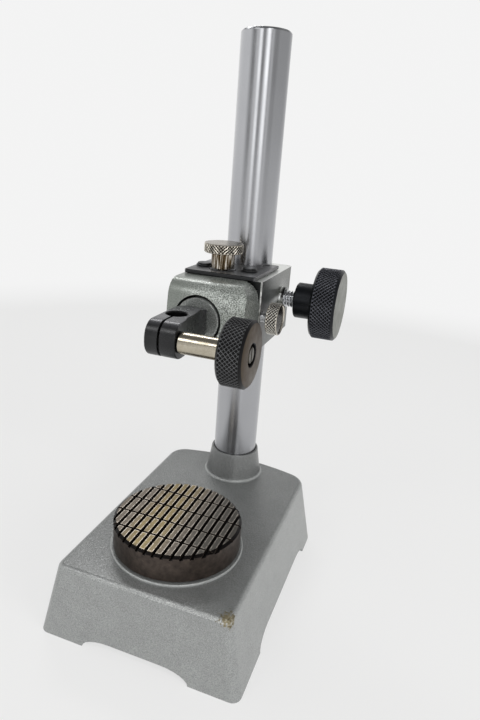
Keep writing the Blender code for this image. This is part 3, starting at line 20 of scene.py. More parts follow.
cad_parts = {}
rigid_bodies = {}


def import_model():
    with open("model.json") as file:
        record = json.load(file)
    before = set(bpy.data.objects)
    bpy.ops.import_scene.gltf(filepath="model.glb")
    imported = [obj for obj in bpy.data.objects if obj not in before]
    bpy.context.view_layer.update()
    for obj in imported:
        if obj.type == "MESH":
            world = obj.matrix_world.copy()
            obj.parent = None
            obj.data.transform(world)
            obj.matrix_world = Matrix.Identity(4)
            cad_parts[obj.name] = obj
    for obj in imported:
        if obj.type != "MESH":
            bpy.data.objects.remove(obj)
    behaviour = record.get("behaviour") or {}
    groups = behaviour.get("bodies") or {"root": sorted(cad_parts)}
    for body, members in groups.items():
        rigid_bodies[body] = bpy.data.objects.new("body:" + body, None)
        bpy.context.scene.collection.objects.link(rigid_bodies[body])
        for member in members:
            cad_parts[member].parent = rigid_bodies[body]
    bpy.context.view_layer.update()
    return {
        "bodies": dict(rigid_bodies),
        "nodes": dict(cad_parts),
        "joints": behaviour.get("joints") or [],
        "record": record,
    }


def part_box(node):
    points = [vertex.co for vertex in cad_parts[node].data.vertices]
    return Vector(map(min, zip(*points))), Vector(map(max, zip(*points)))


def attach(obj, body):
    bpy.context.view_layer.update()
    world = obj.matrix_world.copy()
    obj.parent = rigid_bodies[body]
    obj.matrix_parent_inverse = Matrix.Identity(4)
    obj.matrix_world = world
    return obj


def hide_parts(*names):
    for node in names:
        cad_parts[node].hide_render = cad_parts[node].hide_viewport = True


Tree = bpy.types.NodeTree
Socket = bpy.types.NodeSocket
Colour = tuple[float, float, float, float]
Span = tuple[float, float]
Triple = tuple[float, float, float]

log = logging.getLogger("comparator_stand")

MM = 0.001
TINY = 1e-9
# Nearly all of a noise lies between these two values.
NOISE_SPAN = (0.3, 0.7)
# A turned piece marks its crests, and which of its bands are knurled, for its material.
KNURL_LAYERS = ("crest", "knurled")
# Edges sharper than this stay sharp; a thread's flanks meet at more.
SHARP_DEGREES = 30.0
THREAD_SHARP_DEGREES = 50.0


class Body(Enum):
    """The frame's bodies that pieces ride on."""

    STAND = "stand"
    LIFT = "lift"
    BRACKET = "bracket"
    CLAMP_FOOT = "clamp_foot"
    CLAMP_SCREW = "clamp_screw"
    FINE_FOOT = "fine_foot"
    FINE_SCREW = "fine_screw"
    LOCK_FOOT = "lock_foot"
    LOCK_THUMB = "lock_thumb"
    ROCKER = "rocker"
    STEM_SPACER = "stem_spacer"
    STEM_THUMB = "stem_thumb"


class Slot(Enum):
    """The record's material slots."""

    PAINT = "hammered_paint"
    COLUMN = "ground_steel"
    ANVIL = "hardened_steel"
    BLACK = "black_oxide"
    NICKEL = "nickel_plate"
    ZINC = "zinc_plated_steel"
    BRONZE = "bronze"
    SPRING = "spring_steel"


class Axis(Enum):
    """Which way a turned piece's spindle points."""

    X = "X"
    Z = "Z"

    def turn(self) -> Matrix:
        """Rotation that lays a turned piece's own +Z along this axis."""
        return Euler((0.0, math.radians(90.0 if self is Axis.X else 0.0), 0.0)).to_matrix().to_4x4()

    def across(self) -> Triple:
        """One for each axis that lies across this one, nought for this one."""
        return (0.0, 1.0, 1.0) if self is Axis.X else (1.0, 1.0, 0.0)


def linear(colour: str) -> Colour:
    """Turns an sRGB hex colour into the linear values that shaders take.

    Args:
        colour: six hex digits, with or without a leading hash.

    Returns:
        Red, green, blue and full alpha.
    """
    digits = colour.lstrip("#")
    channels = [int(digits[i:i + 2], 16) / 255.0 for i in (0, 2, 4)]
    curved = [c / 12.92 if c <= 0.04045 else ((c + 0.055) / 1.055) ** 2.4 for c in channels]
    return (curved[0], curved[1], curved[2], 1.0)


def grey(value: float) -> Colour:
    """A linear grey with full alpha."""
    return (value, value, value, 1.0)


def connect(tree: Tree, node: bpy.types.Node, inputs: dict) -> None:
    """Sets a node's inputs or links them.

    Args:
        tree: the node tree.
        node: the node.
        inputs: socket name or number to a value, or to an output socket to link from.
    """
    for name, value in inputs.items():
        if isinstance(value, Socket):
            tree.links.new(value, node.inputs[name])
        else:
            node.inputs[name].default_value = value


def add_node(tree: Tree, kind: str, inputs: dict | Sequence = (), give: int | str = 0,
             stops: Sequence[tuple[float, Colour]] = (), **settings: object) -> Socket:
    """Adds one node to a tree, sets it, links it and hands on one of its outputs.

    Args:
        tree: the node tree.
        kind: the node's type name after "ShaderNode".
        inputs: values, or output sockets to link from, in order or by name or number.
        give: name or number of the output that is wanted.
        stops: positions and colours of a colour ramp.
        **settings: the node's own properties.

    Returns:
        That output.
    """
    node = tree.nodes.new("ShaderNode" + kind)
    for name, value in settings.items():
        setattr(node, name, value)
    connect(tree, node, inputs if isinstance(inputs, dict) else dict(enumerate(inputs)))
    if stops:
        marks = node.color_ramp.elements
        while len(marks) < len(stops):
            marks.new(0.5)
        for mark, (position, colour) in zip(marks, stops):
            mark.position, mark.color = position, colour
    return node.outputs[give]


def overlap(tree: Tree, *masks: Socket | float) -> Socket:
    """Where all of these masks hold: their product."""
    return reduce(lambda held, mask: add_node(tree, "Math", [held, mask], operation="MULTIPLY"), masks)


def either(tree: Tree, *masks: Socket | float) -> Socket:
    """Where any of these masks holds: the greatest of them."""
    return reduce(lambda held, mask: add_node(tree, "Math", [held, mask], operation="MAXIMUM"), masks)


def band(tree: Tree, value: Socket, span: Span, soft: float) -> Socket:
    """One inside the span and nought outside it, with borders this soft."""
    return overlap(tree, add_node(tree, "MapRange", [value, span[0] - soft, span[0] + soft]),
                   add_node(tree, "MapRange", [value, span[1] + soft, span[1] - soft]))


def coats(tree: Tree, colour: Socket | Colour, *layers: tuple[Socket, Socket | Colour]) -> Socket:
    """Lays coats of colour on a surface, one over the other.

    Args:
        tree: the node tree.
        colour: what they lie on.
        *layers: each coat's mask and colour.

    Returns:
        The colour that shows.
    """
    for mask, coat in layers:
        colour = add_node(tree, "Mix", {0: mask, 6: colour, 7: coat}, 2, data_type="RGBA")
    return colour


def shaded(tree: Tree, colour: Socket, mask: Socket, share: float) -> Socket:
    """The colour, darkened to this share of itself where the mask holds."""
    return coats(tree, colour, (mask, add_node(tree, "VectorMath", {0: colour, "Scale": share},
                                               operation="SCALE")))


def reach(tree: Tree, place: Socket, middle: Triple, keep: Triple = (1.0, 1.0, 1.0)) -> Socket:
    """Distance from a middle, measured only along the axes that keep leaves."""
    flat = add_node(tree, "Mapping", {"Vector": place, "Scale": keep})
    return add_node(tree, "VectorMath", [flat, middle], "Value", operation="DISTANCE")


@dataclass(frozen=True)
class Surface:
    """What a material knows of the points that it covers, all fixed to the piece.

    Attributes:
        tree: the material's node tree.
        place: the point, in metres.
        spot: its X, Y and Z.
        facing: how far the surface faces along X, Y and Z.
    """

    tree: Tree
    place: Socket
    spot: bpy.types.NodeOutputs
    facing: bpy.types.NodeOutputs

    @classmethod
    def of(cls, tree: Tree) -> "Surface":
        """Reads the points from a tree.

        Args:
            tree: the material's node tree.

        Returns:
            What is known of them.
        """
        known = add_node(tree, "TexCoord").node.outputs
        spot, facing = [add_node(tree, "SeparateXYZ", [known[name]]).node.outputs
                        for name in ("Object", "Normal")]
        return cls(tree, known["Object"], spot, facing)


@dataclass(frozen=True)
class Grain:
    """Unevenness of a surface, by its real size.

    Attributes:
        size_mm: how far its lumps are apart, or that along X, Y and Z where they are drawn out.
        detail: how many finer sizes ride on them.
        harshness: how strong those are.
    """

    size_mm: float | Triple
    detail: float = 3.0
    harshness: float = 0.6

    def over(self, at: Surface) -> Socket:
        """Draws the unevenness over a surface.

        Args:
            at: the surface's points.

        Returns:
            A noise between nought and one.
        """
        place, scale = at.place, 1.0
        if isinstance(self.size_mm, tuple):
            place = add_node(at.tree, "Mapping", {
                "Vector": place, "Scale": [1.0 / (size * MM) for size in self.size_mm]})
        else:
            scale = 1.0 / (self.size_mm * MM)
        return add_node(at.tree, "TexNoise", {"Vector": place, "Scale": scale, "Detail": self.detail,
                                              "Roughness": self.harshness})


@dataclass(frozen=True)
class Finish:
    """One real surface finish. Subclasses wire what makes it look like itself.

    Attributes:
        name: the material's name.
        colour: sRGB hex of the clean surface.
        roughness: microfacet roughness.
        metallic: 0 for paint, 1 for bare metal.
        uneven: what is added to the roughness at either end of its noise.
    """

    name: str
    colour: str
    roughness: float
    metallic: float
    uneven: Span = (-0.05, 0.08)

    def material(self) -> bpy.types.Material:
        """Finds the material, or makes it the first time it is asked for.

        Returns:
            The material.
        """
        known = bpy.data.materials.get(self.name)
        if known is not None:
            return known
        made = bpy.data.materials.new(self.name)
        made.use_nodes = True
        tree = made.node_tree
        shader = tree.nodes["Principled BSDF"]
        connect(tree, shader, {"Base Color": linear(self.colour), "Roughness": self.roughness,
                               "Metallic": self.metallic})
        self.dress(Surface.of(tree), shader)
        return made

    def dress(self, at: Surface, shader: bpy.types.Node) -> None:
        """Wires what the finish looks like into its shader."""
        raise NotImplementedError

    def gloss(self, at: Surface, noise: Socket, span: Span = NOISE_SPAN) -> Socket:
        """The roughness, as uneven as this noise makes it."""
        ends = [self.roughness + change for change in self.uneven]
        return add_node(at.tree, "MapRange", [noise, *span, *ends])


@dataclass(frozen=True)
class Skin:
    """The state of a painted surface.

    Attributes:
        colour: its colour.
        rough: its roughness.
        metal: how metallic it is.
        relief: how strong its bumps are.
    """

    colour: Socket
    rough: Socket
    metal: Socket | float
    relief: Socket | float = 1.0


@dataclass(frozen=True)
class HammeredPaint(Finish):
    """Hammer-finish enamel: bright flakes and dark pools side by side, under a thin gloss.

    Attributes:
        dark: sRGB hex in the pools.
        light: sRGB hex of the flakes.
        grain_mm: size of flakes and pools.
        pool_mm: width of the shallow dimples that they lie in.
        pool_depth_mm: how deep the dimples are; the flakes stand a third of that.
        flake_stops: where the noise turns from pool to plain paint to flake.
        drift: slow change of tone over the casting.
        drift_shares: the tone at either end of that change.
        coat_weight: how much of a clear gloss lies on it.
        coat_roughness: that gloss's roughness.
    """

    uneven: Span = (0.1, -0.08)
    dark: str = "#6f7270"
    light: str = "#a9acab"
    grain_mm: float = 0.42
    pool_mm: float = 1.1
    pool_depth_mm: float = 0.05
    flake_stops: Triple = (0.38, 0.5, 0.63)
    drift: Grain = Grain(14.0)
    drift_shares: Span = (0.94, 1.06)
    coat_weight: float = 0.25
    coat_roughness: float = 0.2

    def dress(self, at: Surface, shader: bpy.types.Node) -> None:
        """Wires flakes, dimples and gloss.

        Args:
            at: the surface's points.
            shader: the material's shader.
        """
        tree, depth = at.tree, self.pool_depth_mm * MM
        flakes = Grain(self.grain_mm, 2.0).over(at)
        tones = [linear(tone) for tone in (self.dark, self.colour, self.light)]
        colour = add_node(tree, "ValToRGB", [flakes], stops=list(zip(self.flake_stops, tones)))
        drift = add_node(tree, "MapRange", [self.drift.over(at), *NOISE_SPAN, *self.drift_shares])
        colour = add_node(tree, "VectorMath", [colour, drift], operation="MULTIPLY")
        skin = self.wear(at, Skin(colour, self.gloss(at, flakes), self.metallic))
        pools = add_node(tree, "TexVoronoi", {"Vector": at.place, "Scale": 1.0 / (self.pool_mm * MM)},
                         feature="SMOOTH_F1")
        dimples = add_node(tree, "Bump", {"Height": pools, "Distance": depth, "Strength": skin.relief},
                           invert=True)
        relief = add_node(tree, "Bump", {"Height": flakes, "Distance": depth / 3.0,
                                         "Strength": skin.relief, "Normal": dimples})
        connect(tree, shader, {
            "Base Color": skin.colour, "Roughness": skin.rough, "Metallic": skin.metal, "Normal": relief,
            "Coat Weight": self.coat_weight, "Coat Roughness": self.coat_roughness})

    def wear(self, at: Surface, skin: Skin) -> Skin:
        """What wear leaves of the paint; plain hammered paint has none."""
        return skin


@dataclass(frozen=True)
class BasePaint(HammeredPaint):
    """Enamel of the base: top and collar painted darker as shade, painted highlights, chipped to iron at one
    front corner.

    Attributes:
        top: height of the base's top.
        top_facing: how steeply a face looks up where it counts as top.
        top_shade: how far the top is darkened as painted shade, as a share.
        collar: where the column's collar begins, along Y.
        collar_shade_mm: heights over the top between which its painted shade begins.
        collar_shade: how dark the collar is painted, as painted shade, as a share.
        foot_mm: heights over the top of the painted highlight at the collar's foot.
        foot_soft_mm: how softly that highlight ends.
        pad: middle of the anvil's pad.
        ring: radii of the painted highlight round the pad's rim.
        ring_mm: heights over the top between which that highlight begins.
        ring_soft_mm: how softly it ends.
        ragged: what chips and those highlights are ragged by.
        rubbed_and_highlight: sRGB hex of those painted highlights.
        highlight_cut: values of the raggedness between which they show.
        highlight_shares: how much of them shows at either end.
        chip: middle of the chipped patch.
        chip_mm: its reach.
        chip_density: how dense the chips are in its middle and at its end.
        chip_soft: how softly a chip ends, as a part of the raggedness.
        iron: sRGB hex of the grubby iron under them, dark and light.
        iron_stops: values of the raggedness at which it is dark and light.
        iron_metallic: how metallic it is.
        iron_roughness: its roughness.
        glint: sRGB hex of the painted glints on flakes at the front edge.
        glint_from: where they begin and are full, along Y.
        glint_along: where they grow from few to many, along X.
        glint_shares: how many are there at either end.
        glint_grain: their size.
        glint_cut: values of that grain between which a flake glints.
        edge_facing: how steeply a face looks up on the rounded edge.
        edge_soft: how softly the edge ends.
        beside_share: how many flakes glint on the faces beside it.
        beside_facing: how steeply such a face has to look up.
    """

    top: float = 0.0383
    top_facing: Span = (0.8, 0.98)
    top_shade: float = 0.74
    collar: Span = (0.029, 0.032)
    collar_shade_mm: Span = (0.8, 2.2)
    collar_shade: float = 0.6
    foot_mm: Span = (0.15, 0.8)
    foot_soft_mm: float = 0.1
    pad: Span = (0.0, -0.02925)
    ring: Span = (0.0325, 0.0335)
    ring_mm: Span = (0.1, 0.4)
    ring_soft_mm: float = 0.15
    ragged: Grain = Grain(1.3, 4.0, 0.7)
    rubbed_and_highlight: str = "#b9bcba"
    highlight_cut: Span = (0.35, 0.6)
    highlight_shares: Span = (0.2, 0.6)
    chip: Triple = (0.0415, -0.0665, 0.0372)
    chip_mm: float = 6.5
    chip_density: Span = (0.72, 0.3)
    chip_soft: float = 0.06
    iron: tuple[str, str] = ("#5d5644", "#b3a888")
    iron_stops: Span = (0.3, 0.6)
    iron_metallic: float = 0.8
    iron_roughness: float = 0.55
    glint: str = "#dcdedc"
    glint_from: Span = (-0.0595, -0.0655)
    glint_along: Span = (-0.045, 0.02)
    glint_shares: Span = (0.25, 0.8)
    glint_grain: Grain = Grain(0.36, 2.0)
    glint_cut: Span = (0.48, 0.62)
    edge_facing: Span = (0.35, 0.97)
    edge_soft: float = 0.03
    beside_share: float = 0.35
    beside_facing: Span = (0.2, 0.4)

    def wear(self, at: Surface, skin: Skin) -> Skin:
        """Lays painted shade on the top and the collar, painted highlights and real chips over the paint.

        Args:
            at: the surface's points.
            skin: the paint as new.

        Returns:
            The worn paint.
        """
        tree, ragged = at.tree, self.ragged.over(at)
        rear = add_node(tree, "MapRange", [at.spot["Y"], *self.collar])
        # Painted shade on the collar round the column's foot.
        colour = shaded(tree, skin.colour, overlap(tree, rear, self._above(at, self.collar_shade_mm)),
                        self.collar_shade)
        # Painted shade: faces that look up are darkened, as less light falls on the top.
        top_in_shade = add_node(tree, "MapRange", [at.facing["Z"], *self.top_facing])
        colour = shaded(tree, colour, top_in_shade, self.top_shade)
        gone = self._chipped(at, ragged)
        iron = add_node(tree, "ValToRGB", [ragged],
                        stops=list(zip(self.iron_stops, map(linear, self.iron))))
        # Painted highlights: glints at the front edge, thin lines at the collar's foot and pad rim; then the
        # real chips.
        colour = coats(tree, colour, (self._glints(at), linear(self.glint)),
                       (self._highlight_lines(at, rear, ragged), linear(self.rubbed_and_highlight)), (gone, iron))
        rough = either(tree, skin.rough,
                       add_node(tree, "MapRange", [gone, 0.0, 1.0, 0.0, self.iron_roughness]))
        metal = add_node(tree, "MapRange", [gone, 0.0, 1.0, self.metallic, self.iron_metallic])
        return Skin(colour, rough, metal)

    def _above(self, at: Surface, rise_mm: Span) -> Socket:
        """Rises from nought to one between these heights over the base's top."""
        return add_node(at.tree, "MapRange", [at.spot["Z"], *(self.top + rise * MM for rise in rise_mm)])

    def _chipped(self, at: Surface, ragged: Socket) -> Socket:
        """Finds where the paint is chipped off.

        Args:
            at: the surface's points.
            ragged: what the chips are ragged by.

        Returns:
            A mask, densest in the middle of the patch.
        """
        away = reach(at.tree, at.place, self.chip)
        near = add_node(at.tree, "MapRange", [away, 0.0, self.chip_mm * MM, *self.chip_density])
        left = add_node(at.tree, "Math", [near, ragged], operation="SUBTRACT")
        return add_node(at.tree, "MapRange", [left, 0.0, self.chip_soft])

    def _glints(self, at: Surface) -> Socket:
        """Finds the painted glints on flakes along the front edge, fewer on the face below it.

        Args:
            at: the surface's points.

        Returns:
            A mask.
        """
        tree, up = at.tree, at.facing["Z"]
        edge = either(tree, band(tree, up, self.edge_facing, self.edge_soft),
                      overlap(tree, up, self.beside_share))
        return overlap(tree, edge, add_node(tree, "MapRange", [at.spot["Y"], *self.glint_from]),
                       add_node(tree, "MapRange", [up, *self.beside_facing]),
                       add_node(tree, "MapRange", [at.spot["X"], *self.glint_along, *self.glint_shares]),
                       add_node(tree, "MapRange", [self.glint_grain.over(at), *self.glint_cut]))

    def _highlight_lines(self, at: Surface, rear: Socket, ragged: Socket) -> Socket:
        """Finds the thin painted highlights at the collar's foot and round the rim of the anvil's pad.

        Args:
            at: the surface's points.
            rear: a mask of the part with the collar.
            ragged: what the highlights are ragged by.

        Returns:
            A mask.
        """
        tree = at.tree
        # Painted highlight: a thin bright line at the collar's foot and round the pad's rim.
        heights = (self.top + self.foot_mm[0] * MM, self.top + self.foot_mm[1] * MM)
        foot = overlap(tree, rear, band(tree, at.spot["Z"], heights, self.foot_soft_mm * MM))
        away = reach(tree, at.place, (*self.pad, 0.0), Axis.Z.across())
        ring = overlap(tree, band(tree, away, self.ring, self.ring_soft_mm * MM),
                       self._above(at, self.ring_mm))
        return overlap(tree, either(tree, foot, ring),
                       add_node(tree, "MapRange", [ragged, *self.highlight_cut, *self.highlight_shares]))


@dataclass(frozen=True)
class Stripe:
    """A stripe along the bracket's seam, at its right side.

    Attributes:
        span_mm: where it lies, behind the seam.
        soft_mm: how softly it ends.
        inset_mm: depths inside the right side between which it begins.
    """

    span_mm: Span
    soft_mm: float
    inset_mm: Span


@dataclass(frozen=True)
class BracketPaint(HammeredPaint):
    """Enamel of the bracket: hammered on the nose, rubbed smooth on the flank, a painted shadow in the seam.

    Attributes:
        seam: front and rear of the seam along Y.
        side: the flank's place along X.
        top: the top's height.
        calm: sRGB hex of the left side, where the enamel has flowed out smooth.
        calm_from: where that begins and is full, along X.
        calm_share: how dense it is.
        flank_inset_mm: depths inside the right side between which the flank begins.
        flank_from_mm: how far behind the seam it is full.
        flank_shading: sRGB hex of the painted shade and light on the smooth flank: next to the seam, in its
            middle, at its rear.
        flank_stops: where each tone is full, as a share of the way.
        flank_end: where the flank is lightest, along Y.
        clouds: what its tones are cloudy by.
        cloud_shift: how far clouds move a tone either way, as a share of that way.
        nose_facing: how far a face looks right where the nose turns into the shade.
        nose_shade: how dark it is there, as a share.
        nose_before_mm: how far before the seam it is so.
        crown: sRGB hex of the milled top behind the plate, painted near white as a highlight where it faces
            up.
        crown_facing: how steeply a face looks up where it is milled.
        rubbed_and_highlight: sRGB hex of the painted highlights on the top's rim and on the seam's lip.
        rim_inset_mm: depths inside the right side between which the painted highlight on the top's rim
            begins.
        rim_below_mm: depths below the top between which it begins.
        rim_facing: how steeply a face looks up on it.
        rim_soft: how softly it ends.
        lip: the painted highlight on the seam's lip.
        patches: what the lip is patchy by.
        patch_cut: values of that between which it shows.
        patch_shares: how much of it shows at either end.
        seam_shadow: sRGB hex of the painted shadow in the seam.
        groove: the seam's groove, which the painted shadow fills.
        line: the line of painted shadow beside it.
        line_share: how dense that line is.
        boss: where the clamping screw enters, along Y and Z.
        flare: sRGB hex of the light that the flank throws back beside the screw.
        flare_mm: heights over the screw of that light.
        flare_soft_mm: how softly it ends.
        flare_reach_mm: how far it reaches, and how far it is full.
        crescent: sRGB hex of the crescent of shade over the screw.
        crescent_mm: inner and outer radius of that crescent.
        crescent_soft_mm: how softly it ends.
        crescent_rise_mm: how far over the screw it is full.
        polish: how much smoother the flank is polished round the screw.
        polish_mm: how far that reaches, and how far it is full.
        flank_relief: what is left of the hammering on the flank, as a share.
    """

    seam: Span = (0.01235, 0.01375)
    side: float = 0.0204
    top: float = 0.1664
    calm: str = "#828781"
    calm_from: Span = (-0.003, -0.015)
    calm_share: float = 0.85
    flank_inset_mm: Span = (1.2, 0.6)
    flank_from_mm: float = 0.4
    flank_shading: tuple[str, str, str] = ("#262826", "#5c5f5c", "#676963")
    flank_stops: Triple = (0.0, 0.45, 1.0)
    flank_end: float = 0.058
    clouds: Grain = Grain(9.0)
    cloud_shift: Span = (-0.1, 0.1)
    nose_facing: Span = (0.25, 0.7)
    nose_shade: float = 0.55
    nose_before_mm: float = 1.0
    crown: str = "#e9ebe7"
    crown_facing: Span = (0.6, 0.9)
    rubbed_and_highlight: str = "#dfe0dc"
    rim_inset_mm: Span = (1.0, 0.8)
    rim_below_mm: Span = (1.5, 1.0)
    rim_facing: Span = (0.25, 0.97)
    rim_soft: float = 0.02
    lip: Stripe = Stripe((0.25, 0.8), 0.12, (1.5, 1.0))
    patches: Grain = Grain(2.5)
    patch_cut: Span = (0.4, 0.6)
    patch_shares: Span = (0.35, 1.0)
    seam_shadow: str = "#1c1e1e"
    groove: Stripe = Stripe((-1.4, 0.15), 0.1, (0.3, 0.5))
    line: Stripe = Stripe((1.0, 1.7), 0.15, (1.2, 0.6))
    line_share: float = 0.8
    boss: Span = (0.05325, 0.1512)
    flare: str = "#d5d7d6"
    flare_mm: Span = (0.2, 2.8)
    flare_soft_mm: float = 0.9
    flare_reach_mm: Span = (26.0, 12.0)
    crescent: str = "#0c0d0d"
    crescent_mm: Span = (5.4, 6.1)
    crescent_soft_mm: float = 0.2
    crescent_rise_mm: float = 1.5
    polish: float = 0.15
    polish_mm: Span = (13.0, 6.0)
    flank_relief: float = 0.2

    def wear(self, at: Surface, skin: Skin) -> Skin:
        """Lays painted shade and light on the smooth flank, milled top, seam and round the screw, over the
        paint.

        Args:
            at: the surface's points.
            skin: the paint as new.

        Returns:
            The worn paint.
        """
        tree, (front, rear) = at.tree, self.seam
        behind = add_node(tree, "MapRange", [at.spot["Y"], rear, rear + self.flank_from_mm * MM])
        flank = overlap(tree, self._outward(at, self.flank_inset_mm), behind)
        left = overlap(tree, add_node(tree, "MapRange", [at.spot["X"], *self.calm_from]), self.calm_share)
        # Painted shading on the flank: dark next to the seam, lighter toward its rear.
        colour = coats(tree, skin.colour, (left, linear(self.calm)), (flank, self._painted_flank_shading(at)))
        nose = overlap(tree, add_node(tree, "MapRange", [at.facing["X"], *self.nose_facing]),
                       add_node(tree, "MapRange", [at.spot["Y"], rear, front - self.nose_before_mm * MM]))
        colour = shaded(tree, colour, nose, self.nose_shade)
        # Painted highlight: the milled top behind the seam is painted near white where it faces up.
        crown = overlap(tree, add_node(tree, "MapRange", [at.facing["Z"], *self.crown_facing]), behind)
        # Painted highlight along the top's right rim.
        under = [self.top - below * MM for below in self.rim_below_mm]
        rim = overlap(tree, self._outward(at, self.rim_inset_mm),
                      band(tree, at.facing["Z"], self.rim_facing, self.rim_soft),
                      add_node(tree, "MapRange", [at.spot["Z"], *under]), behind)
        # Painted highlight: a bright, patchy line on the seam's lip.
        lip = overlap(tree, self._stripe(at, self.lip), add_node(
            tree, "MapRange", [self.patches.over(at), *self.patch_cut, *self.patch_shares]))
        # Painted shadow: the seam's groove and a dark line beside it.
        line = overlap(tree, self._stripe(at, self.line), self.line_share)
        seam_shadow = either(tree, line, self._stripe(at, self.groove))
        flare, crescent, near = self._round_screw(at, flank)
        colour = coats(tree, colour, (crown, linear(self.crown)), (rim, linear(self.rubbed_and_highlight)),
                       (lip, linear(self.rubbed_and_highlight)), (seam_shadow, linear(self.seam_shadow)),
                       (flare, linear(self.flare)), (crescent, linear(self.crescent)))
        rough = add_node(tree, "Math", [skin.rough, overlap(tree, near, self.polish)], operation="SUBTRACT")
        quiet = either(tree, flank, crown, seam_shadow)
        relief = add_node(tree, "MapRange", [quiet, 0.0, 1.0, 1.0, self.flank_relief])
        return Skin(colour, rough, skin.metal, relief)

    def _outward(self, at: Surface, inset_mm: Span) -> Socket:
        """Rises from nought to one between these depths inside the right side."""
        return add_node(at.tree, "MapRange", [at.spot["X"], *(self.side - inset * MM for inset in inset_mm)])

    def _stripe(self, at: Surface, stripe: Stripe) -> Socket:
        """Draws a stripe beside the seam.

        Args:
            at: the surface's points.
            stripe: the stripe.

        Returns:
            Its mask.
        """
        start, end = [self.seam[1] + distance * MM for distance in stripe.span_mm]
        return overlap(at.tree, band(at.tree, at.spot["Y"], (start, end), stripe.soft_mm * MM),
                       self._outward(at, stripe.inset_mm))

    def _painted_flank_shading(self, at: Surface) -> Socket:
        """Draws the flank's painted shade and light, darkest at the seam.

        Args:
            at: the surface's points.

        Returns:
            Their colour.
        """
        along = add_node(at.tree, "MapRange", [at.spot["Y"], self.seam[1], self.flank_end])
        cloud = add_node(at.tree, "MapRange", [self.clouds.over(at), *NOISE_SPAN, *self.cloud_shift])
        cloudy = add_node(at.tree, "Math", [along, cloud], operation="ADD")
        return add_node(at.tree, "ValToRGB", [cloudy],
                        stops=list(zip(self.flank_stops, map(linear, self.flank_shading))))

    def _round_screw(self, at: Surface, flank: Socket) -> tuple[Socket, Socket, Socket]:
        """Finds what lies round the clamping screw on the flank.

        Args:
            at: the surface's points.
            flank: the flank's mask.

        Returns:
            Masks of the light beside it, the crescent of shade over it, and what is polished.
        """
        tree, height, level = at.tree, at.spot["Z"], self.boss[1]
        away = reach(tree, at.place, (0.0, *self.boss), Axis.X.across())
        beside = band(tree, height, (level + self.flare_mm[0] * MM, level + self.flare_mm[1] * MM),
                      self.flare_soft_mm * MM)
        flare, near = [add_node(tree, "MapRange", [away, span[0] * MM, span[1] * MM])
                       for span in (self.flare_reach_mm, self.polish_mm)]
        inner, outer = self.crescent_mm
        over = [level, level + self.crescent_rise_mm * MM]
        crescent = overlap(tree, band(tree, away, (inner * MM, outer * MM), self.crescent_soft_mm * MM),
                           add_node(tree, "MapRange", [height, *over]), flank)
        return overlap(tree, beside, flare, flank), crescent, overlap(tree, near, flank)


@dataclass(frozen=True)
class GroundSteel(Finish):
    """Centreless-ground bar: fine rings round the bar draw its reflections out lengthways.

    Attributes:
        rings: the grinding rings, drawn a few times coarser than they are, so that they show.
        ring_depth_mm: their depth.
        relief: how strong they look.
        handled: what hands have dulled it by.
        stretch: how far reflections are drawn out.
        stretch_turn: which way, as a share of a full turn from the tangent.
    """

    uneven: Span = (-0.03, 0.05)
    rings: Grain = Grain((125.0, 125.0, 0.35), 3.0, 0.7)
    ring_depth_mm: float = 0.004
    relief: float = 0.7
    handled: Grain = Grain(22.0, 4.0, 0.5)
    stretch: float = 0.85
    stretch_turn: float = 0.25

    def dress(self, at: Surface, shader: bpy.types.Node) -> None:
        """Wires the rings and the stretched gloss.

        Args:
            at: the surface's points.
            shader: the material's shader.
        """
        relief = add_node(at.tree, "Bump", {"Height": self.rings.over(at),
                                            "Distance": self.ring_depth_mm * MM,
                                            "Strength": self.relief})
        connect(at.tree, shader, {
            "Roughness": self.gloss(at, self.handled.over(at)), "Normal": relief,
            "Tangent": add_node(at.tree, "Tangent", direction_type="RADIAL", axis="Z"),
            "Anisotropic": self.stretch, "Anisotropic Rotation": self.stretch_turn})


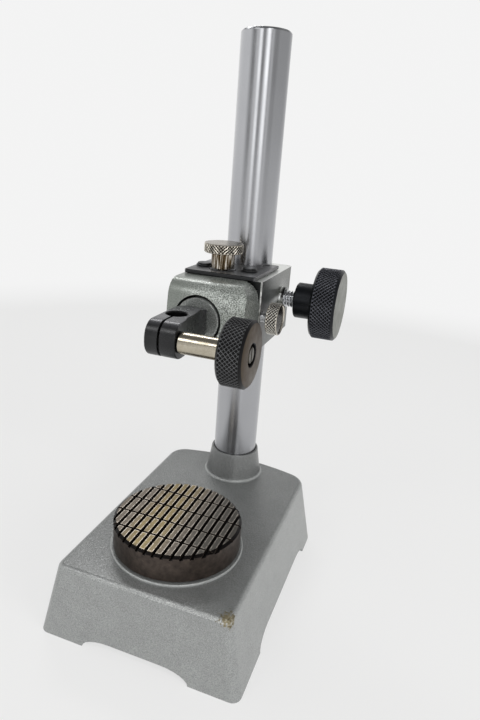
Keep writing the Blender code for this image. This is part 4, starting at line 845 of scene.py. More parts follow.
@dataclass(frozen=True)
class AnvilSteel(Finish):
    """Hardened steel: dark scale on the side and in the grooves, lands lapped bright, with painted
    reflection and highlights.

    Attributes:
        top: height of the lapped lands.
        top_below_mm: depths below it between which a land begins.
        blotch: what scale and lands are blotched by.
        land_tones: sRGB hex of the lands, and of their duller patches.
        side_dull: sRGB hex of patches on the side.
        groove_colour: sRGB hex of the grooves' floors.
        warm_reflection: sRGB hex of a painted warm reflection across the lands.
        warm_band: where that reflection lies, along X.
        warm_soft_mm: how softly it ends.
        warm_cut: values of the blotches between which it turns weaker.
        warm_shares: how strong it is at either end.
        dusk_colour: sRGB hex of the darker lands.
        dusk_from: where the lands turn darker and are darkest, along X.
        arris_highlight: sRGB hex of the painted highlight along the lands' edges.
        arris_mm: how wide that highlight is.
        arris_soft_mm: how softly that ends.
        arris_grain: what that highlight is patchy by.
        arris_cut: values of that between which it shows.
        arris_shares: how much of it shows at either end.
        long_pitch: pitch of the long grooves.
        long_half: half their width.
        cross_pitch: pitch of the cross grooves.
        cross_half: half their width.
        middle_y: the anvil's middle along Y.
        turning: the turning marks of the side.
        turning_depth_mm: their depth.
        relief: how strong they look.
    """

    uneven: Span = (-0.08, 0.12)
    top: float = 0.0534
    top_below_mm: Span = (0.12, 0.02)
    blotch: Grain = Grain(3.0, 4.0, 0.65)
    land_tones: tuple[str, str] = ("#756c62", "#5e574e")
    side_dull: str = "#2f2926"
    groove_colour: str = "#120e0d"
    warm_reflection: str = "#958351"
    warm_band: Span = (-0.0165, 0.0015)
    warm_soft_mm: float = 4.0
    warm_cut: Span = (0.35, 0.65)
    warm_shares: Span = (0.75, 0.35)
    dusk_colour: str = "#6a6660"
    dusk_from: Span = (0.007, 0.016)
    arris_highlight: str = "#d5ccc0"
    arris_mm: float = 0.4
    arris_soft_mm: float = 0.06
    arris_grain: Grain = Grain(1.2, 3.0)
    arris_cut: Span = (0.4, 0.6)
    arris_shares: Span = (0.15, 0.9)
    long_pitch: float = 0.0042
    long_half: float = 0.0008
    cross_pitch: float = 0.0122
    cross_half: float = 0.00055
    middle_y: float = -0.02925
    turning: Grain = Grain((16.6667, 16.6667, 0.25), 2.0, 0.5)
    turning_depth_mm: float = 0.006
    relief: float = 0.6

    def dress(self, at: Surface, shader: bpy.types.Node) -> None:
        """Wires scale, lands, tints, rubbed edges and turning marks.

        Args:
            at: the surface's points.
            shader: the material's shader.
        """
        tree, blotch = at.tree, self.blotch.over(at)
        heights = [self.top - below * MM for below in self.top_below_mm]
        land = add_node(tree, "MapRange", [at.spot["Z"], *heights])
        lands = add_node(tree, "ValToRGB", [blotch],
                         stops=list(zip((0.3, 0.75), map(linear, self.land_tones))))
        scale = add_node(tree, "ValToRGB", [blotch],
                         stops=[(0.3, linear(self.colour)), (0.8, linear(self.side_dull))])
        # Painted reflection: a warm band across the lands.
        glow = overlap(tree, band(tree, at.spot["X"], self.warm_band, self.warm_soft_mm * MM),
                       add_node(tree, "MapRange", [blotch, *self.warm_cut, *self.warm_shares]), land)
        dusk = overlap(tree, add_node(tree, "MapRange", [at.spot["X"], *self.dusk_from]), land)
        # Painted highlight along the lands' edges.
        arris = overlap(tree, self._arrises(at), land, add_node(
            tree, "MapRange", [self.arris_grain.over(at), *self.arris_cut, *self.arris_shares]))
        floor = overlap(tree, add_node(tree, "Math", [1.0, land], operation="SUBTRACT"),
                        add_node(tree, "Math", [at.facing["Z"], 0.5], operation="GREATER_THAN"))
        colour = coats(tree, scale, (land, lands), (glow, linear(self.warm_reflection)),
                       (dusk, linear(self.dusk_colour)), (arris, linear(self.arris_highlight)),
                       (floor, linear(self.groove_colour)))
        relief = add_node(tree, "Bump", {"Height": self.turning.over(at),
                                         "Distance": self.turning_depth_mm * MM,
                                         "Strength": self.relief})
        connect(tree, shader, {"Base Color": colour, "Normal": relief,
                               "Roughness": self.gloss(at, blotch, (0.0, 1.0))})

    def _arrises(self, at: Surface) -> Socket:
        """Finds the lands' long edges, beside each groove.

        Args:
            at: the surface's points.

        Returns:
            A mask.
        """
        rows = []
        for way, middle, pitch, half in (("X", 0.0, self.long_pitch, self.long_half),
                                         ("Y", self.middle_y, self.cross_pitch, self.cross_half)):
            off = add_node(at.tree, "Math", [at.spot[way], middle + pitch / 2.0], operation="SUBTRACT")
            away = add_node(at.tree, "Math", [off, pitch / 2.0], operation="PINGPONG")
            rows.append(band(at.tree, away, (half, half + self.arris_mm * MM),
                             self.arris_soft_mm * MM))
        return either(at.tree, *rows)


@dataclass(frozen=True)
class BlackOxide(Finish):
    """Blackened steel, oiled: near black, with a soft gloss and edges rubbed a little brighter.

    Attributes:
        grain_mm: size of the surface grain, drawn coarser than it is, so that it shows.
        grain_depth_mm: its depth.
        relief: how strong it looks.
        smear: what the oil is smeared by.
        edge: how sharply a surface turns where it begins to be rubbed, and where it is rubbed most.
        rubbed_and_highlight: sRGB hex of the rubbed edges.
        rub: how strongly edges are rubbed, 0 to 1.
        top_sheen: sRGB hex of the painted sheen on its upper faces, where they catch the light.
        top_sheen_strength: how strong that painted sheen is, 0 to 1.
        top_sheen_facing: how steeply a face looks up where that sheen begins, and where it is full.
    """

    uneven: Span = (-0.07, 0.09)
    grain_mm: float = 0.5
    grain_depth_mm: float = 0.006
    relief: float = 0.8
    smear: Grain = Grain(7.0, 4.0)
    edge: Span = (0.53, 0.62)
    rubbed_and_highlight: str = "#8a8a8c"
    rub: float = 0.5
    top_sheen: str = "#56565a"
    top_sheen_strength: float = 0.0
    top_sheen_facing: Span = (0.75, 0.98)

    def dress(self, at: Surface, shader: bpy.types.Node) -> None:
        """Wires rubbed edges, a painted sheen on upper faces, oil and grain.

        Args:
            at: the surface's points.
            shader: the material's shader.
        """
        tree = at.tree
        turn = add_node(tree, "NewGeometry", give="Pointiness")
        worn = add_node(tree, "MapRange", [turn, *self.edge, 0.0, self.rub])
        # Painted sheen: upper faces lightened, as they catch the light.
        lying = add_node(tree, "MapRange", [at.facing["Z"], *self.top_sheen_facing, 0.0, self.top_sheen_strength])
        relief = add_node(tree, "Bump", {"Height": Grain(self.grain_mm).over(at),
                                         "Distance": self.grain_depth_mm * MM,
                                         "Strength": self.relief})
        connect(tree, shader, {
            "Base Color": coats(tree, linear(self.colour), (worn, linear(self.rubbed_and_highlight)),
                                (lying, linear(self.top_sheen))),
            "Roughness": self.gloss(at, self.smear.over(at)), "Normal": relief})


@dataclass(frozen=True)
class PlatedMetal(Finish):
    """Bright or plain metal plating: turning marks and small smudges under the gloss.

    Attributes:
        mark_mm: spacing of the turning marks, drawn coarser than it is, so that they show.
        mark_depth_mm: their depth.
        mark_round_mm: how long a mark keeps its depth round the piece.
        relief: how strong the marks look.
        lengthways: the axis that the marks ring round.
        smudge: what the plating has dulled by.
        shadow: sRGB hex of the metal where it has dulled.
    """

    mark_mm: float = 0.22
    mark_depth_mm: float = 0.004
    mark_round_mm: float = 25.0
    relief: float = 0.7
    lengthways: Axis = Axis.X
    smudge: Grain = Grain(3.5, 4.0)
    shadow: str = "#8b8274"

    def dress(self, at: Surface, shader: bpy.types.Node) -> None:
        """Wires smudges and turning marks.

        Args:
            at: the surface's points.
            shader: the material's shader.
        """
        sizes = tuple(self.mark_round_mm if across else self.mark_mm for across in self.lengthways.across())
        smudges = self.smudge.over(at)
        relief = add_node(at.tree, "Bump", {"Height": Grain(sizes, 2.0, 0.5).over(at),
                                            "Distance": self.mark_depth_mm * MM,
                                            "Strength": self.relief})
        stops = [(0.35, linear(self.colour)), (0.8, linear(self.shadow))]
        connect(at.tree, shader, {"Base Color": add_node(at.tree, "ValToRGB", [smudges], stops=stops),
                                  "Roughness": self.gloss(at, smudges), "Normal": relief})


@dataclass(frozen=True)
class Knurled(Finish):
    """Knurled metal: crests rubbed bright, on plated metal painted as glints; pits oily and in painted
    shade; lathe rings.

    Attributes:
        crest: sRGB hex of the crests, rubbed bright, and on plated metal a painted glint.
        crest_from: how far up a pit's side the crest's colour begins, and where it is full.
        pit: sRGB hex of the pits, dark with oil and painted shade.
        pit_reach: how far up a pit's side its colour reaches, as a share.
        face: sRGB hex of the outer end face.
        facing: how squarely a surface faces along the spindle where it counts as that face.
        ring_mm: spacing of the lathe's rings, drawn coarser than it is, so that they show.
        ring_depth_mm: their depth.
        relief: how strong they look.
        smear: what the gloss is smeared by.
        centre: a point on the spindle, with nought along it.
        spindle: the spindle's axis.
        shank: sRGB hex below shank_top, on a piece whose shank is another colour.
        shank_top: where the shank ends, along the spindle.
        shank_streaks: the streaks along it.
    """

    uneven: Span = (-0.06, 0.08)
    crest: str = "#8a8b8d"
    crest_from: Span = (0.84, 0.94)
    pit: str = "#050505"
    pit_reach: float = 0.4
    face: str = "#8d9196"
    facing: Span = (0.9, 0.98)
    ring_mm: float = 0.22
    ring_depth_mm: float = 0.008
    relief: float = 0.8
    smear: Grain = Grain(5.0, 4.0)
    centre: Triple = (0.0, 0.0, 0.0)
    spindle: Axis = Axis.X
    shank: str | None = None
    shank_top: float = 0.0
    shank_streaks: Grain = Grain((0.7, 0.7, 17.5))

    def dress(self, at: Surface, shader: bpy.types.Node) -> None:
        """Wires crests, pits, end face and shank.

        Args:
            at: the surface's points.
            shader: the material's shader.
        """
        tree, way = at.tree, self.spindle.value
        crest, knurled = [add_node(tree, "Attribute", give="Fac", attribute_name=layer)
                          for layer in KNURL_LAYERS]
        metal, pit, bright = [linear(tone) for tone in (self.colour, self.pit, self.crest)]
        # Painted glints on the crests and painted shade in the pits, over the knurl's real facets.
        cuts = add_node(tree, "ValToRGB", [crest], stops=[
            (self.pit_reach - 0.2, pit), (self.pit_reach, metal), (self.crest_from[0], metal),
            (self.crest_from[1], bright)])
        faced = add_node(tree, "MapRange", [at.facing[way], *self.facing])
        colour = coats(tree, metal, (knurled, cuts), (faced, linear(self.face)))
        if self.shank is not None:
            dull = add_node(tree, "ValToRGB", [self.shank_streaks.over(at)],
                            stops=[(0.35, pit), (0.5, linear(self.shank)), (0.62, bright)])
            ends = (self.shank_top + 0.1 * MM, self.shank_top - 0.1 * MM)
            colour = coats(tree, colour, (add_node(tree, "MapRange", [at.spot[way], *ends]), dull))
        rings = add_node(tree, "TexNoise", {
            "W": reach(tree, at.place, self.centre, self.spindle.across()),
            "Scale": 1.0 / (self.ring_mm * MM), "Detail": 2.0}, noise_dimensions="1D")
        relief = add_node(tree, "Bump", {"Height": overlap(tree, rings, faced),
                                         "Distance": self.ring_depth_mm * MM,
                                         "Strength": self.relief})
        connect(tree, shader, {"Base Color": colour, "Roughness": self.gloss(at, self.smear.over(at)),
                               "Normal": relief})


@dataclass(frozen=True)
class MattePaper(Finish):
    """The pale studio floor, which fades into the backdrop's own brightness far away.

    Attributes:
        fade: where the fade begins and is full, in metres from the stand.
        backdrop: the backdrop's brightness.
        lift: how far the eye sees it lifted toward the backdrop near the stand, too.
    """

    fade: Span = (0.22, 0.8)
    backdrop: float = 0.9
    lift: float = 0.72

    def dress(self, at: Surface, shader: bpy.types.Node) -> None:
        """Wires the fade, for the eye and for what metal and glass show of the floor.

        Args:
            at: the surface's points.
            shader: the material's shader.
        """
        tree, away = at.tree, reach(at.tree, at.place, (0.0, 0.0, 0.0))
        far = add_node(tree, "MapRange", [away, *self.fade], interpolation_type="SMOOTHSTEP")
        path = add_node(tree, "LightPath").node.outputs
        seen = either(tree, *(path[f"Is {ray} Ray"] for ray in ("Camera", "Glossy", "Transmission")))
        glow = add_node(tree, "Emission", {"Color": grey(self.backdrop), "Strength": 1.0})
        lifted = overlap(tree, either(tree, far, self.lift), seen)
        shown = add_node(tree, "MixShader", [lifted, shader.outputs["BSDF"], glow])
        connect(tree, tree.nodes["Material Output"], {"Surface": shown})


# Stoved hammer-finish enamel, sprayed on cast iron. On the base its silicone pools show as a
# soft sparkle of grey on grey, and its dimples break up the gloss.
BASE_PAINT = BasePaint("hammered_enamel_base", "#949695", 0.34, 0.3, dark="#848685", light="#a8aaa9",
                       grain_mm=0.4, pool_mm=0.75, pool_depth_mm=0.16)
# The same enamel, laid on thicker: on the bracket its flakes stand out bright from dark pools.
BRACKET_PAINT = BracketPaint("hammered_enamel_bracket", "#989d97", 0.36, 0.45, dark="#505450",
                             light="#c9cec9", grain_mm=0.48, pool_mm=0.8, pool_depth_mm=0.06)
# Again the same, on the barrel's face, which looks quieter than the nose round it: its tones are painted
# darker as shade.
BARREL_PAINT = HammeredPaint("hammered_enamel_barrel", "#7b7e7b", 0.36, 0.45, dark="#5b5e5b",
                             light="#a2a5a2", grain_mm=0.45, pool_mm=0.8, pool_depth_mm=0.06)
# Carbon steel bar, centreless ground: bright, with the room drawn out in long upright bands.
COLUMN_STEEL = GroundSteel("centreless_ground_steel", "#b0b1b4", 0.22, 1.0)
# Tool steel, hardened and tempered, its top lapped: brown scale round dull silvery lands.
ANVIL_SCALE = AnvilSteel("hardened_anvil_steel", "#554b44", 0.38, 0.75)
# Rolled steel, black oxide in oil: an even near-black sheen with thin paler edges.
PLATE_BLACK = BlackOxide("black_oxide_plate", "#141517", 0.32, 0.35)
# Steel, black oxide over a rougher skin: a coarser grain, pale edges, tops lightened by a painted sheen.
CLAMP_BLACK = BlackOxide("black_oxide_clamp", "#070708", 0.28, 0.3, grain_mm=0.8, grain_depth_mm=0.012,
                         rubbed_and_highlight="#6e6f72", rub=0.45, top_sheen_strength=0.75)
# Steel, knurled and then blackened: a net of grey crests over black pits, and a greyed end face.
CLAMP_KNOB_BLACK = Knurled("black_oxide_clamp_knurl", "#101318", 0.34, 0.6, pit_reach=0.5,
                           crest="#6c6d75", face="#62645a", centre=(0.0, 0.05325, 0.1512))
# The same, with an end face that has browned in use.
STEM_KNOB_BLACK = Knurled("black_oxide_stem_knurl", "#0e0e0f", 0.4, 0.6, pit_reach=0.5,
                          crest="#6c6d6f", face="#37270d", centre=(0.0, -0.04225, 0.1483))
# Steel, knurled and nickel plated: warm white crests painted as glints, over pits painted dark as shade.
FINE_NICKEL = Knurled("nickel_plated_fine_knurl", "#b3ac9f", 0.26, 1.0, crest="#fffaf0",
                      pit="#080605", pit_reach=0.74, face="#8f897e", centre=(-0.004, 0.02255, 0.0),
                      spindle=Axis.Z, shank="#5f4e34", shank_top=0.1773)
# The same on the lock screw, whose dished end face lies in the shade.
LOCK_NICKEL = Knurled("nickel_plated_lock_knurl", "#cfc9bd", 0.22, 1.0, crest="#fffefa",
                      pit="#050403", pit_reach=0.78, face="#56514a", centre=(0.0, 0.01775, 0.1483))
# Turned steel, nickel plated: a warm mirror with faint rings.
NICKEL_ROD = PlatedMetal("nickel_plated_rod", "#c1baaa", 0.2, 1.0, shadow="#a69c88")
# Steel, plain zinc plated: a cold, cloudy grey.
ZINC = PlatedMetal("zinc_plated_steel", "#b9babb", 0.34, 1.0, shadow="#7f8082")
# Steel, heat blued and worn: dark, with a brown gloss in the slot's shade.
BLUED_SCREW = PlatedMetal("blued_slotted_screw", "#5b564d", 0.3, 1.0, shadow="#2b2824")
# Steel, hard chromed: the brightest metal here, so that each turn of a thread glints.
CHROME = PlatedMetal("bright_chrome", "#e2e3e5", 0.14, 1.0, shadow="#a9abae")
# Cast bearing bronze, turned: a dull gold that has browned in its marks.
BRONZE = PlatedMetal("bearing_bronze", "#b08a4e", 0.42, 1.0, lengthways=Axis.Z, shadow="#6d5330")
# Spring steel, cold drawn: a plain grey with a soft sheen.
SPRING_WIRE = PlatedMetal("drawn_spring_wire", "#8d8e90", 0.35, 1.0, lengthways=Axis.Z, shadow="#5a5b5d")
# Matt paper off a roll: it takes the stand's soft shadow and shows no gloss.
FLOOR_PAPER = MattePaper("pale_studio_paper", "#ececea", 0.9, 0.0)


def dressed(piece: bpy.types.Object, finish: Finish, body: Body,
            stands_for: Iterable[str] = ()) -> bpy.types.Object:
    """Gives a new piece its finish and its body, and hides the nodes that it stands for.

    Args:
        piece: the piece.
        finish: what it looks like.
        body: what it rides on.
        stands_for: the nodes that it replaces.

    Returns:
        The piece.
    """
    piece.data.materials.clear()
    piece.data.materials.append(finish.material())
    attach(piece, body.value)
    names = list(stands_for)
    if names:
        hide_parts(*names)
    log.info("dressed %s in %s", piece.name, finish.name)
    return piece


def dress_node(frame: dict, node: str, finish: Finish) -> None:
    """Gives a carried-over node a finish through its own material slots.

    Args:
        node: the node's name.
        finish: what it looks like.
    """
    slots = frame["nodes"][node].data.materials
    if not slots:
        slots.append(finish.material())
    for i in range(len(slots)):
        slots[i] = finish.material()
    log.info("dressed %s in %s", node, finish.name)


def show(name: str, mesh: bpy.types.Mesh, sharp_degrees: float = SHARP_DEGREES) -> bpy.types.Object:
    """Puts a mesh in the scene, shaded smooth apart from its sharp edges.

    Args:
        name: the piece's name.
        mesh: its mesh.
        sharp_degrees: edges at least this sharp stay sharp.

    Returns:
        The piece.
    """
    made = bpy.data.objects.new(name, mesh)
    bpy.context.scene.collection.objects.link(made)
    mesh.shade_smooth()
    mesh.set_sharp_from_angle(angle=math.radians(sharp_degrees))
    return made


def on_spindle(shape: bmesh.types.BMesh, name: str, origin: Vector, axis: Axis,
               sharp_degrees: float = SHARP_DEGREES) -> bpy.types.Object:
    """Lays facets that were made round +Z along a spindle, as a new piece.

    Args:
        shape: the facets, which are freed.
        name: the piece's name.
        origin: where the spindle's zero is.
        axis: which way it points.
        sharp_degrees: edges at least this sharp stay sharp.

    Returns:
        The piece.
    """
    bmesh.ops.recalc_face_normals(shape, faces=shape.faces)
    mesh = bpy.data.meshes.new(name)
    shape.to_mesh(mesh)
    shape.free()
    mesh.transform(Matrix.Translation(origin) @ axis.turn())
    return show(name, mesh, sharp_degrees)


def applied(piece: bpy.types.Object) -> bpy.types.Object:
    """Replaces a piece's mesh by what its modifiers make of it.

    Args:
        piece: the piece.

    Returns:
        The same piece.
    """
    depsgraph = bpy.context.evaluated_depsgraph_get()
    result = bpy.data.meshes.new_from_object(piece.evaluated_get(depsgraph))
    piece.modifiers.clear()
    piece.data = result
    return piece


@dataclass(frozen=True)
class Refinement:
    """How a node's solid is copied and its edges broken for the picture.

    Attributes:
        edge_mm: width that sharp edges are rounded by.
        segments: steps across each rounded edge.
        from_degrees: edges at least this sharp are rounded.
        weld_mm: corners nearer than this are one.
        flat_degrees: facets that turn less than this are one.
    """

    edge_mm: float = 0.15
    segments: int = 2
    from_degrees: float = 38.0
    weld_mm: float = 0.002
    flat_degrees: float = 0.4

    def copy(self, frame: dict, node: str) -> bpy.types.Object:
        """Makes a refined copy of a node, in the same place.

        Args:
            node: the node's name.

        Returns:
            The copy.
        """
        mesh = frame["nodes"][node].data.copy()
        mesh.name = node + "_refined"
        shape = bmesh.new()
        shape.from_mesh(mesh)
        bmesh.ops.remove_doubles(shape, verts=shape.verts, dist=self.weld_mm * MM)
        bmesh.ops.dissolve_limit(shape, angle_limit=math.radians(self.flat_degrees), verts=shape.verts,
                                 edges=shape.edges)
        shape.to_mesh(mesh)
        shape.free()
        if "custom_normal" in mesh.attributes:
            mesh.attributes.remove(mesh.attributes["custom_normal"])
        piece = show(node + "_refined", mesh)
        step = piece.modifiers.new("broken_edges", "BEVEL")
        step.width = self.edge_mm * MM
        step.segments = self.segments
        step.limit_method = "ANGLE"
        step.angle_limit = math.radians(self.from_degrees)
        step.use_clamp_overlap = True
        step.harden_normals = True
        piece.modifiers.new("even_normals", "WEIGHTED_NORMAL").keep_sharp = True
        return applied(piece)


@dataclass(frozen=True)
class Knurl:
    """Diamond knurling, cut as real pits between crossing ridges.

    Attributes:
        pitch_mm: width of one diamond round the rim.
        aspect: a diamond's length along the axis over its width.
        depth_mm: how deep the cuts are.
    """

    pitch_mm: float
    aspect: float = 1.45
    depth_mm: float = 0.4

    def count(self, radius: float) -> int:
        """Diamonds round a rim of this radius."""
        return max(12, round(2.0 * math.pi * radius / (self.pitch_mm * MM)))


@dataclass(frozen=True)
class Stop:
    """One corner of a turned outline; knurled marks the band from here to the next stop."""

    along: float
    radius: float
    knurled: bool = False


@dataclass(frozen=True)
class Turning:
    """A turned piece on a spindle.

    Attributes:
        origin: where the spindle's zero is.
        axis: which way the spindle points.
        stops: the outline, from one end to the other.
        knurl: the knurling of its knurled bands.
        segments: facets round a piece without knurling.
        closed: whether the outline closes on itself, as a ring's does.
    """

    origin: Vector
    axis: Axis
    stops: Sequence[Stop]
    knurl: Knurl | None = None
    segments: int = 96
    closed: bool = False

    def build(self, name: str) -> bpy.types.Object:
        """Turns the piece.

        Args:
            name: the piece's name.

        Returns:
            The piece.
        """
        widest = max(stop.radius for stop in self.stops)
        segments = 2 * self.knurl.count(widest) if self.knurl else self.segments
        shape = bmesh.new()
        for layer in KNURL_LAYERS:
            shape.verts.layers.float.new(layer)
        rows = self._rows(shape, segments)
        pairs = list(zip(rows, rows[1:]))
        if self.closed:
            pairs.append((rows[-1], rows[0]))
        for (lower, low_cut), (upper, high_cut) in pairs:
            self._skin(shape, lower, upper, segments, low_cut, high_cut)
        return on_spindle(shape, name, self.origin, self.axis)

    def _rows(self, shape: bmesh.types.BMesh, segments: int) -> list[tuple[list, int | None]]:
        """Makes rows of vertices up the outline.

        Args:
            shape: what they are made in.
            segments: facets round.

        Returns:
            Each row, with its place in the pattern where it is knurled.
        """
        rows: list[tuple[list, int | None]] = []
        for i, stop in enumerate(self.stops):
            rows.append((self._ring(shape, stop.along, stop.radius, segments, None), None))
            if not stop.knurled or self.knurl is None or i + 1 >= len(self.stops):
                continue
            length = self.stops[i + 1].along - stop.along
            step = self.knurl.pitch_mm * self.knurl.aspect * MM / 2.0
            halves = max(2, round(abs(length) / step))
            for k in range(halves + 1):
                along = stop.along + length * ((k + 0.5) / (halves + 1))
                rows.append((self._ring(shape, along, stop.radius, segments, k), k))
        return rows

    def _ring(self, shape: bmesh.types.BMesh, along: float, radius: float, segments: int,
              cut: int | None) -> list:
        """Makes one row of vertices; a knurled row alternates between crests and pits.

        Args:
            shape: what it is made in.
            along: its place along the spindle.
            radius: its radius.
            segments: facets round.
            cut: its place in the pattern where it is knurled.

        Returns:
            Its vertices, or a single one on the spindle.
        """
        crest, knurled = [shape.verts.layers.float[layer] for layer in KNURL_LAYERS]
        ring = []
        for j in range(segments if radius > TINY else 1):
            pit = cut is not None and (j + cut) % 2 == 0
            depth = self.knurl.depth_mm * MM if self.knurl and pit else 0.0
            angle = 2.0 * math.pi * j / segments
            point = shape.verts.new(((radius - depth) * math.cos(angle), (radius - depth) * math.sin(angle),
                                     along))
            point[crest] = 0.0 if pit else 1.0
            point[knurled] = 0.0 if cut is None else 1.0
            ring.append(point)
        return ring

    @staticmethod
    def _skin(shape: bmesh.types.BMesh, lower: list, upper: list, segments: int, low_cut: int | None,
              high_cut: int | None) -> None:
        """Puts faces between two rows; knurled rows are split along the ridges between the pits.

        Args:
            shape: what they are made in.
            lower: one row's vertices.
            upper: the next row's.
            segments: facets round.
            low_cut: the lower row's place in the pattern.
            high_cut: the upper row's.
        """
        if len(lower) == 1 and len(upper) == 1:
            return
        for j in range(segments):
            k = (j + 1) % segments
            if len(lower) == 1:
                shape.faces.new((lower[0], upper[j], upper[k]))
            elif len(upper) == 1:
                shape.faces.new((lower[j], lower[k], upper[0]))
            elif low_cut is None and high_cut is None:
                shape.faces.new((lower[j], lower[k], upper[k], upper[j]))
            elif (j + (low_cut if low_cut is not None else (high_cut or 0) + 1)) % 2 == 1:
                shape.faces.new((lower[j], lower[k], upper[k]))
                shape.faces.new((lower[j], upper[k], upper[j]))
            else:
                shape.faces.new((lower[j], lower[k], upper[j]))
                shape.faces.new((lower[k], upper[k], upper[j]))


@dataclass(frozen=True)
class Thread:
    """An outside screw thread cut as a real helix.

    Attributes:
        pitch_mm: the thread's pitch.
        depth_mm: crest to root.
        rows_per_turn: rows of facets along one pitch.
        segments: facets round.
        steepness: how steeply its flanks fall.
        crest: how wide its crest is left flat, as a share of its depth.
    """

    pitch_mm: float
    depth_mm: float
    rows_per_turn: int = 8
    segments: int = 40
    steepness: float = 1.3
    crest: float = 0.15

    def build(self, name: str, origin: Vector, axis: Axis, start: float, end: float,
              radius: float) -> bpy.types.Object:
        """Cuts the thread and closes both its ends.

        Args:
            name: the piece's name.
            origin: where the spindle's zero is.
            axis: which way the spindle points.
            start: where the thread begins along it.
            end: where it ends.
            radius: its radius over the crests.

        Returns:
            The piece.
        """
        shape = bmesh.new()
        pitch = self.pitch_mm * MM
        count = max(2, round((end - start) / pitch * self.rows_per_turn))
        rows = []
        for i in range(count + 1):
            along = start + (end - start) * i / count
            ring = []
            for j in range(self.segments):
                turn = j / self.segments
                wave = abs(((along / pitch - turn) % 1.0) * 2.0 - 1.0)
                flank = min(1.0, max(0.0, wave * self.steepness - self.crest))
                out = radius - self.depth_mm * MM * flank
                angle = 2.0 * math.pi * turn
                ring.append(shape.verts.new((out * math.cos(angle), out * math.sin(angle), along)))
            rows.append(ring)
        for lower, upper in zip(rows, rows[1:]):
            for j in range(self.segments):
                k = (j + 1) % self.segments
                shape.faces.new((lower[j], lower[k], upper[k], upper[j]))
        shape.faces.new(rows[0])
        shape.faces.new(rows[-1])
        return on_spindle(shape, name, origin, axis, THREAD_SHARP_DEGREES)


def lying_box(node: str) -> tuple[Vector, float, float]:
    """Measures a node that was turned on a spindle along X.

    Args:
        node: the node's name.

    Returns:
        The left end of its spindle, its radius and its length.
    """
    low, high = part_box(node)
    middle = Vector((low.x, (low.y + high.y) / 2.0, (low.z + high.z) / 2.0))
    return middle, (high.z - low.z) / 2.0, high.x - low.x


@dataclass(frozen=True)
class SubAssembly:
    """Something on the stand that builds its own pieces from the frame.

    Attributes:
    """

    frame: dict

    def build(self) -> None:
        """Makes and dresses the pieces."""
        raise NotImplementedError

    def refine(self, finish: Finish, slot: Slot, body: Body, edges: Refinement, *nodes: str) -> None:
        """Shows nodes as refined copies of themselves.

        Args:
            finish: what they look like.
            slot: the record's slot; not used.
            body: what they ride on.
            edges: how their edges are broken.
            *nodes: their names.
        """
        for node in nodes:
            dressed(edges.copy(self.frame, node), finish, body, [node])


@dataclass(frozen=True)
class StandAssembly(SubAssembly):
    """Base casting, anvil, column and the screws under the base.

    Attributes:
        casting_edges: the base's edges.
        land_edges: those of the anvil and its lands.
        bar_edges: the column's.
        screw_edges: those of the screws and washers.
    """

    casting_edges: Refinement = Refinement(0.35)
    land_edges: Refinement = Refinement(0.14)
    bar_edges: Refinement = Refinement(0.3)
    screw_edges: Refinement = Refinement(0.2)

    def build(self) -> None:
        """Makes and dresses the pieces."""
        self.refine(BASE_PAINT, Slot.PAINT, Body.STAND, self.casting_edges, "base_casting")
        self.refine(ANVIL_SCALE, Slot.ANVIL, Body.STAND, self.land_edges, "anvil")
        self.refine(COLUMN_STEEL, Slot.COLUMN, Body.STAND, self.bar_edges, "column")
        self.refine(ZINC, Slot.ZINC, Body.STAND, self.screw_edges, "anvil_screw", "anvil_washer",
                    "column_bolt", "column_washer")


@dataclass(frozen=True)
class BracketAssembly(SubAssembly):
    """Clamping bracket with its top plate, screws and hidden spring.

    Attributes:
        casting_edges: the casting's edges.
        plate_edges: those of the sheared plate.
        screw_edges: those of the plate's screws.
        bush_edges: those of the fine screw's bush.
        pin_edges: those of the pin and of the column's bush.
    """

    casting_edges: Refinement = Refinement(0.3, 2, 45.0)
    plate_edges: Refinement = Refinement(0.1, 1, 45.0)
    screw_edges: Refinement = Refinement(0.25, 3)
    bush_edges: Refinement = Refinement(0.15)
    pin_edges: Refinement = Refinement(0.2)

    def build(self) -> None:
        """Makes and dresses the pieces."""
        self.refine(BRACKET_PAINT, Slot.PAINT, Body.BRACKET, self.casting_edges, "bracket_casting")
        self.refine(PLATE_BLACK, Slot.BLACK, Body.BRACKET, self.plate_edges, "top_plate")
        self.refine(PLATE_BLACK, Slot.BLACK, Body.BRACKET, self.screw_edges, "plate_screw_left",
                    "plate_screw_right")
        self.refine(PLATE_BLACK, Slot.BLACK, Body.BRACKET, self.bush_edges, "fine_bush")
        self.refine(ZINC, Slot.ZINC, Body.BRACKET, self.pin_edges, "pivot_pin")
        dress_node(self.frame, "return_spring", SPRING_WIRE)
        self.refine(BRONZE, Slot.BRONZE, Body.LIFT, self.pin_edges, "column_bush")


@dataclass(frozen=True)
class RockerAssembly(SubAssembly):
    """Rocking barrel, its tail and the split stem clamp.

    Attributes:
        barrel_edges: the barrel's edges.
        tail_edges: the tail's.
        clamp_edges: the stem clamp's.
    """

    barrel_edges: Refinement = Refinement(0.15)
    tail_edges: Refinement = Refinement(0.2)
    clamp_edges: Refinement = Refinement(0.18, 2, 40.0)

    def build(self) -> None:
        """Makes and dresses the pieces."""
        self.refine(BARREL_PAINT, Slot.PAINT, Body.ROCKER, self.barrel_edges, "barrel")
        self.refine(ZINC, Slot.ZINC, Body.ROCKER, self.tail_edges, "rocker_tail")
        self.refine(CLAMP_BLACK, Slot.BLACK, Body.ROCKER, self.clamp_edges, "stem_clamp")


